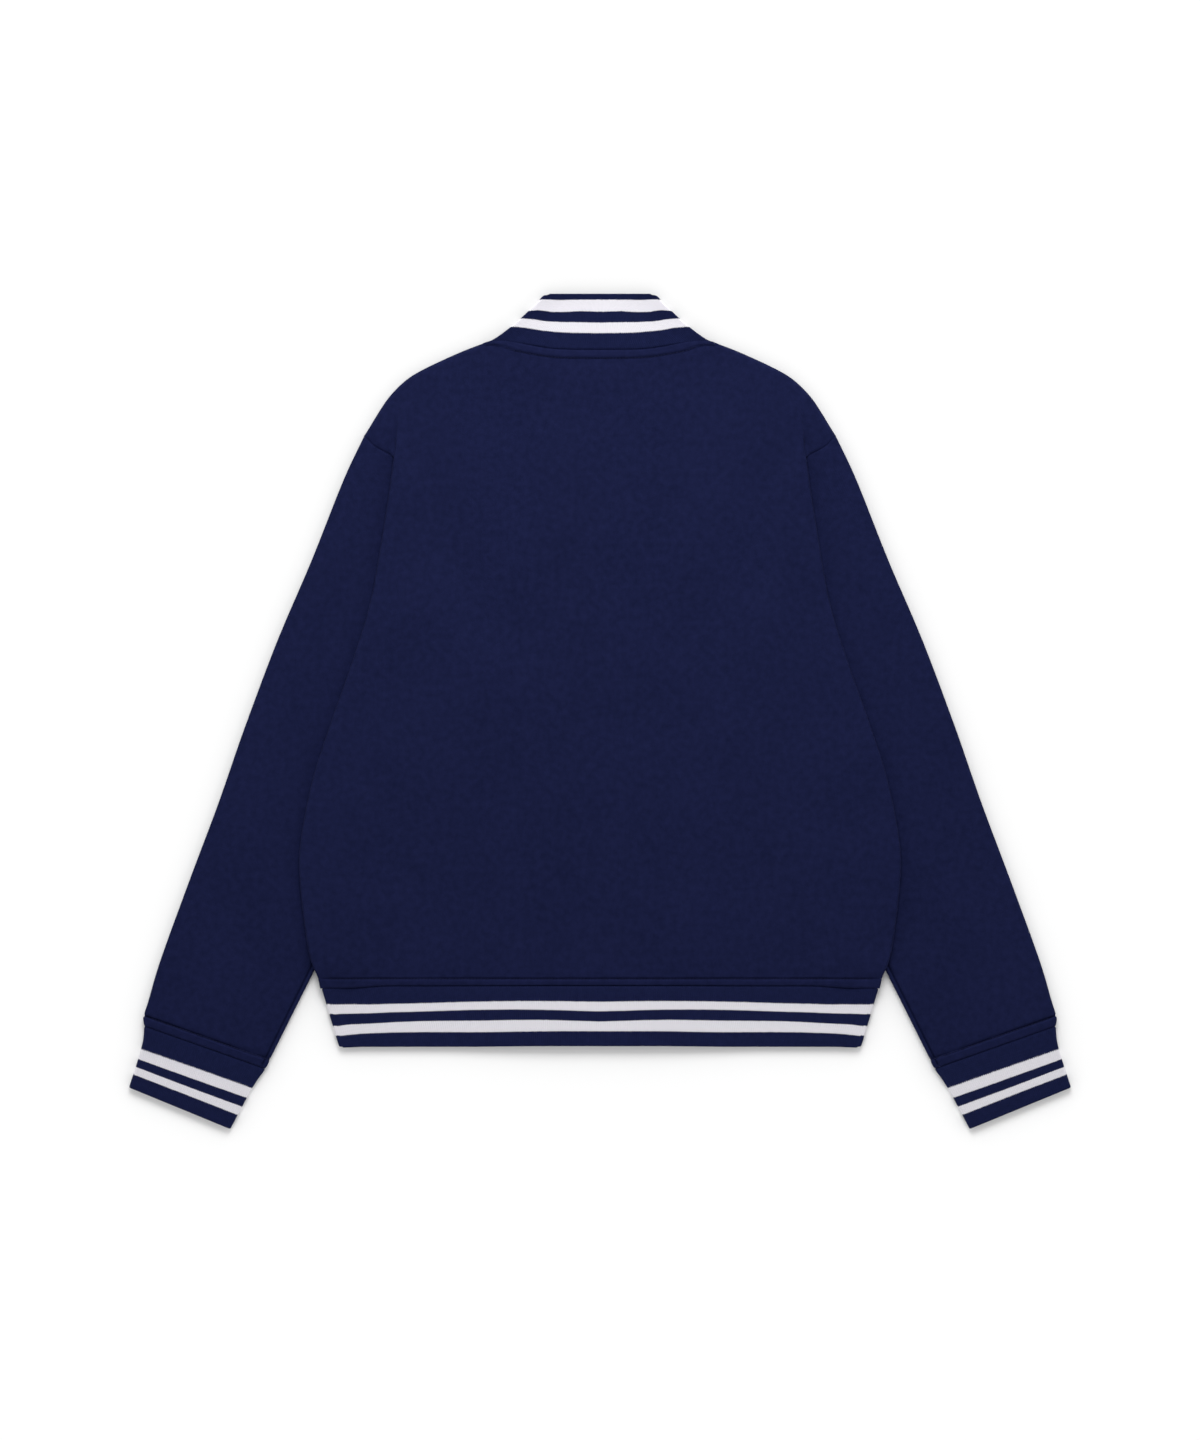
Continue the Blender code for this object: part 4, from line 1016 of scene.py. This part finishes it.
def select_faces(mesh, test):
    """Selects a mesh's faces by their middle, in edit mode's data."""
    bpy.ops.object.mode_set(mode="OBJECT")
    for face in mesh.polygons:
        face.select = test(face.center, face.normal)
    bpy.ops.object.mode_set(mode="EDIT")


def disc(radius, low, high, sides=40):
    bpy.ops.object.select_all(action="DESELECT")
    bpy.ops.mesh.primitive_cylinder_add(vertices=sides, radius=radius * MM, depth=(high - low) * MM,
                                        location=(0.0, 0.0, (low + high) / 2 * MM))
    bpy.ops.object.transform_apply(location=True, rotation=True, scale=True)
    return bpy.context.object


def model_snap(name, wall, finish):
    """A snap at the origin: a cap with a rolled rim below, its post, and the stud plate inside."""
    cap_top = SNAP_CAP_SUNK + SNAP_CAP_HEIGHT
    plate_top = 2 * wall + SEAM + SNAP_PLATE_PROUD
    cap = disc(SNAP_CAP_RADIUS, SNAP_CAP_SUNK, cap_top)
    bpy.ops.object.mode_set(mode="EDIT")
    bpy.ops.mesh.select_mode(type="FACE")
    select_faces(cap.data, lambda centre, normal: normal.z < -0.9)
    for width, lift in ((0.5, 0.0), (0.7, 0.22), (0.6, 0.12), (2.2, -0.16), (2.4, -0.06)):
        bpy.ops.mesh.inset(thickness=width * MM)
        bpy.ops.transform.translate(value=(0.0, 0.0, lift * MM))
    bpy.ops.object.mode_set(mode="OBJECT")
    rim = cap.modifiers.new("Rolled rim", "BEVEL")
    rim.width = 0.3 * MM
    rim.segments = 3
    rim.limit_method = "ANGLE"
    rim.angle_limit = math.radians(50)
    bpy.ops.object.modifier_apply(modifier=rim.name)
    post = disc(SNAP_POST_RADIUS, cap_top - 0.2, plate_top - 0.4, 24)
    plate = disc(SNAP_PLATE_RADIUS, plate_top - SNAP_PLATE_HEIGHT, plate_top)
    bpy.ops.object.mode_set(mode="EDIT")
    select_faces(plate.data, lambda centre, normal: normal.z > 0.9)
    for width, lift in ((1.2, 0.0), (0.5, -0.35), (1.0, 0.0), (0.4, 0.3)):
        bpy.ops.mesh.inset(thickness=width * MM)
        bpy.ops.transform.translate(value=(0.0, 0.0, lift * MM))
    bpy.ops.object.mode_set(mode="OBJECT")
    bpy.ops.object.select_all(action="DESELECT")
    for part in (post, plate, cap):
        part.select_set(True)
    bpy.context.view_layer.objects.active = cap
    bpy.ops.object.join()
    cap.name = name
    cap.data.materials.clear()
    cap.data.materials.append(finish)
    bpy.ops.object.shade_smooth_by_angle(angle=math.radians(35))
    return cap


def make_snaps(finish):
    snaps = []
    body_snap = model_snap("snap_fastener_1", FLEECE, finish)
    for index in range(SNAP_COUNT):
        if index == SNAP_COUNT - 1:
            snap = model_snap("snap_fastener_" + str(index + 1), RIB, finish)
        elif index:
            snap = body_snap.copy()
            snap.data = body_snap.data.copy()
            snap.name = "snap_fastener_" + str(index + 1)
            bpy.context.scene.collection.objects.link(snap)
        else:
            snap = body_snap
        snaps.append(snap)
    for index, snap in enumerate(snaps):
        points = np.empty(len(snap.data.vertices) * 3)
        snap.data.vertices.foreach_get("co", points)
        points = points.reshape(-1, 3) + [0.0, (SNAP_TOP_Y - SNAP_STEP * index) * MM, 0.0]
        snap.data.vertices.foreach_set("co", points.ravel())
        snap.data.update()
    return snaps


# ---------------------------------------------------------------- finishes

class Socket:
    """A shader value that sums and products can be written with."""

    def __init__(self, recipe, link):
        self.recipe = recipe
        self.link = link

    def math(self, operation, first, second=0.0):
        return self.recipe.node("ShaderNodeMath", {"operation": operation}, {0: first, 1: second})

    def __add__(self, other):
        return self.math("ADD", self, other)

    def __sub__(self, other):
        return self.math("SUBTRACT", self, other)

    def __rsub__(self, other):
        return self.math("SUBTRACT", other, self)

    def __mul__(self, other):
        return self.math("MULTIPLY", self, other)

    def __gt__(self, other):
        return self.math("GREATER_THAN", self, other)

    def __lt__(self, other):
        return self.math("LESS_THAN", self, other)

    __radd__ = __add__
    __rmul__ = __mul__


class Recipe:
    """A material made node by node round one Principled shader."""

    def __init__(self, name, **constants):
        self.material = bpy.data.materials.new(name)
        self.material.use_nodes = True
        self.tree = self.material.node_tree
        self.shader = self.tree.nodes["Principled BSDF"]
        for socket, value in constants.items():
            self.shader.inputs[socket.replace("_", " ")].default_value = value

    def join(self, socket, value):
        if isinstance(value, Socket):
            self.tree.links.new(value.link, socket)
        else:
            socket.default_value = value

    def node(self, kind, settings, sockets, output=0):
        made = self.tree.nodes.new(kind)
        for key, value in settings.items():
            setattr(made, key, value)
        for key, value in sockets.items():
            self.join(made.inputs[key], value)
        return Socket(self, made.outputs[output])

    def finish(self, socket, value):
        self.join(self.shader.inputs[socket], value)

    def wave(self, value):
        return self.node("ShaderNodeMath", {"operation": "SINE"}, {0: value * (2 * math.pi)})

    def noise(self, scale, detail=2.0, place=None):
        place = place or self.node("ShaderNodeTexCoord", {}, {}, output="Object")
        return self.node("ShaderNodeTexNoise", {}, {"Vector": place, "Scale": scale, "Detail": detail})

    def mix(self, share, first, second):
        return self.node("ShaderNodeMix", {"data_type": "RGBA"}, {0: share, 6: first, 7: second}, output=2)

    def cloth_place(self):
        """Place on the flat cloth, as two values."""
        cloth = self.node("ShaderNodeUVMap", {"uv_map": "Cloth"}, {})
        return [self.node("ShaderNodeSeparateXYZ", {}, {0: cloth}, output=k) for k in (0, 1)]

    def relief(self, height, depth, strength=1.0):
        normal = self.node("ShaderNodeBump", {}, {"Strength": strength, "Distance": depth * MM,
                                                  "Height": height})
        self.finish("Normal", normal)


NAVY_DEEP = (0.0035, 0.0055, 0.0275, 1.0)
NAVY_LIGHT = (0.0067, 0.0093, 0.0419, 1.0)
RIB_NAVY_DEEP = (0.0038, 0.0061, 0.0295, 1.0)
RIB_NAVY_LIGHT = (0.0062, 0.0091, 0.0415, 1.0)
STRIPE_WHITE = (0.630, 0.615, 0.650, 1.0)
# The white stripes' colour in the ribs' grooves: painted shade, with some navy showing between the white
# ribs
STRIPE_GROOVE_SHADE = (0.560, 0.550, 0.595, 1.0)
PAPER_WHITE = (0.992, 0.992, 0.992, 1.0)    # far from the light
PAPER_GREY = (0.570, 0.570, 0.570, 1.0)     # close to it
THREAD_NAVY = (0.0050, 0.0072, 0.0340, 1.0)
SNAP_NAVY = (0.0120, 0.0150, 0.0520, 1.0)
WALE = 1.3              # width of one column of the fleece's knit face, in millimetres
COURSE = 1.0


def fleece_finish():
    recipe = Recipe("navy_fleece", Specular_IOR_Level=0.06)
    u, v = recipe.cloth_place()
    column = recipe.wave(u * (1 / WALE))
    loops = recipe.wave(v * (1 / COURSE) + column * 0.3)
    fuzz = recipe.noise(1300.0, 3.0)
    mottle = recipe.noise(160.0, 3.0)
    cloud = recipe.noise(14.0, 2.0)
    shade = mottle * 1.7 + fuzz * 1.3 + cloud * 0.6 - 1.3
    recipe.finish("Base Color", recipe.mix(shade, NAVY_DEEP, NAVY_LIGHT))
    recipe.finish("Roughness", fuzz * 0.1 + 0.82)
    recipe.relief(column * 0.25 + loops * 0.2 + fuzz * 1.1, 0.14, 0.5)
    return recipe.material


def rib_finish():
    recipe = Recipe("striped_rib", Specular_IOR_Level=0.06)
    rib, mark = recipe.cloth_place()
    crest = recipe.node("ShaderNodeMath", {"operation": "COSINE"}, {0: rib * (2 * math.pi)})
    tooth = crest * 0.035 + recipe.noise(420.0, 1.0) * 0.06 - 0.03
    place = mark + tooth
    stripes = (place > 1.0) * (place < 2.0) + (place > 3.0) * (place < 4.0)
    fuzz = recipe.noise(1500.0, 3.0)
    mottle = recipe.noise(200.0, 2.0)
    navy = recipe.mix(mottle * 1.3 + fuzz * 0.9 - 0.6, RIB_NAVY_DEEP, RIB_NAVY_LIGHT)
    # The white is mixed towards the groove colour away from each rib's crest: painted shade in the grooves,
    # with some navy showing through
    white = recipe.mix(crest * 0.3 + 0.35 + fuzz * 0.35, STRIPE_GROOVE_SHADE, STRIPE_WHITE)
    recipe.finish("Base Color", recipe.mix(stripes, navy, white))
    recipe.finish("Roughness", fuzz * 0.1 + 0.8)
    courses = recipe.wave(mark * 7.0 + crest * 0.2)
    recipe.relief(courses * 0.25 + fuzz, 0.12, 0.5)
    return recipe.material


def thread_finish():
    recipe = Recipe("navy_thread", Specular_IOR_Level=0.12)
    twist = recipe.noise(2600.0, 1.0)
    recipe.finish("Base Color", recipe.mix(twist, THREAD_NAVY, NAVY_LIGHT))
    recipe.finish("Roughness", twist * 0.15 + 0.55)
    recipe.relief(twist, 0.08, 0.6)
    return recipe.material


def snap_finish():
    recipe = Recipe("painted_snap", Coat_Roughness=0.25)
    wear = recipe.noise(900.0, 4.0)
    recipe.finish("Base Color", recipe.mix(wear * 0.5, SNAP_NAVY, NAVY_LIGHT))
    recipe.finish("Roughness", wear * 0.2 + 0.3)
    recipe.finish("Coat Weight", wear * 0.3 + 0.2)
    recipe.relief(wear, 0.03, 0.4)
    return recipe.material


def floor_finish():
    """Paper, darker where the light is strong, so that it looks evenly white from above."""
    recipe = Recipe("white_paper", Specular_IOR_Level=0.0, Roughness=1.0)
    place = recipe.node("ShaderNodeTexCoord", {}, {}, output="Object")
    across, height = [recipe.node("ShaderNodeSeparateXYZ", {}, {0: place}, output=k) for k in (0, 1)]
    upper = recipe.node("ShaderNodeMath", {"operation": "MULTIPLY_ADD", "use_clamp": True},
                        {0: height, 1: 1 / 1.4, 2: 0.5})
    middle = 1.0 - across * across * 3.0
    shade = upper * 0.83 + (upper * 0.13 + 0.04) * middle
    near = recipe.node("ShaderNodeMath", {"operation": "SUBTRACT", "use_clamp": True},
                       {0: 2.5, 1: height * 2.0})
    recipe.finish("Base Color", recipe.mix(shade * near, PAPER_WHITE, PAPER_GREY))
    return recipe.material


# ---------------------------------------------------------------- the jacket

fleece, rib, thread, snap_paint = fleece_finish(), rib_finish(), thread_finish(), snap_finish()


def dress(piece, slot, *nodes):
    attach(piece, "root")
    if nodes:
        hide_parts(*nodes)
    return piece


back_thread = dress(back_stitches(thread), "fleece")
back = dress(make_back(fleece), "fleece", "back")
for word, side, lap_height in (("left", -1, 0.0), ("right", 1, FLEECE + SEAM)):
    front_thread = dress(front_stitches("front_stitches_" + word, side, lap_height, thread), "fleece")
    front = dress(make_front("front_panel_" + word, side, lap_height, fleece), "fleece", "front_" + word)
    sleeve_thread = dress(sleeve_stitches("sleeve_stitches_" + word, side, thread), "fleece")
    sleeve = dress(make_sleeve("sleeve_cloth_" + word, side, fleece), "fleece", "sleeve_" + word)
    cuff = dress(make_cuff("rib_cuff_" + word, side, rib), "rib", "cuff_" + word)
collar = dress(make_collar(rib), "rib", "collar")
hem_band = dress(make_hem_band(rib), "rib", "hem_band")
for number, snap in enumerate(make_snaps(snap_paint), 1):
    dress(snap, "snap_metal", "snap_" + str(number))

# ---------------------------------------------------------------- floor, light and camera

FLOOR_SIZE = 9.0
CAMERA_HEIGHT = 5.6
FRAME_HEIGHT = 1.3968       # the upright frame's real height at the cloth
FRAME_CENTRE = (0.0, -0.0092)
CLOTH_LEVEL = 0.008
SENSOR = 36.0

bpy.ops.object.select_all(action="DESELECT")
bpy.ops.mesh.primitive_plane_add(size=FLOOR_SIZE, location=(0.0, 0.0, 0.0))
floor = bpy.context.object
floor.name = "studio_floor"
floor.data.materials.append(floor_finish())

HORIZON_LIGHT = 1.93        # a white room gives more light from low down than from overhead,
OVERHEAD_LIGHT = 0.41       # which draws soft shadows all round thin edges
HORIZON_SPAN = (0.3, 0.7)   # where one gives way to the other, as heights on a unit sphere

world = bpy.data.worlds.new("studio")
world.use_nodes = True
world_nodes, world_links = world.node_tree.nodes, world.node_tree.links
direction = world_nodes.new("ShaderNodeTexCoord")
split = world_nodes.new("ShaderNodeSeparateXYZ")
strength = world_nodes.new("ShaderNodeMapRange")
for socket, value in zip(("From Min", "From Max", "To Min", "To Max"),
                         (*HORIZON_SPAN, HORIZON_LIGHT, OVERHEAD_LIGHT)):
    strength.inputs[socket].default_value = value
world_links.new(direction.outputs["Generated"], split.inputs[0])
world_links.new(split.outputs["Z"], strength.inputs["Value"])
world_links.new(strength.outputs["Result"], world_nodes["Background"].inputs["Strength"])
world_nodes["Background"].inputs["Color"].default_value = (1.0, 1.0, 1.0, 1.0)
bpy.context.scene.world = world

KEY_PLACE = (0.0, 1.4, 1.3)     # above the collar, facing the jacket's middle
KEY_SIZE = (1.2, 1.0)
KEY_POWER = 30.0

bpy.ops.object.light_add(type="AREA", location=KEY_PLACE)
key = bpy.context.object
key.name = "soft_key"
key.data.shape = "RECTANGLE"
key.data.size, key.data.size_y = KEY_SIZE
key.data.energy = KEY_POWER
key.rotation_euler = (-math.atan2(KEY_PLACE[1], KEY_PLACE[2]), 0.0, 0.0)

bpy.ops.object.camera_add(location=(*FRAME_CENTRE, CLOTH_LEVEL + CAMERA_HEIGHT), rotation=(0.0, 0.0, 0.0))
camera = bpy.context.object
camera.name = "overhead_camera"
camera.data.sensor_width = SENSOR
camera.data.lens = SENSOR * CAMERA_HEIGHT / FRAME_HEIGHT
camera.data.clip_end = 50.0
bpy.context.scene.camera = camera
bpy.context.scene.view_settings.view_transform = "Standard"
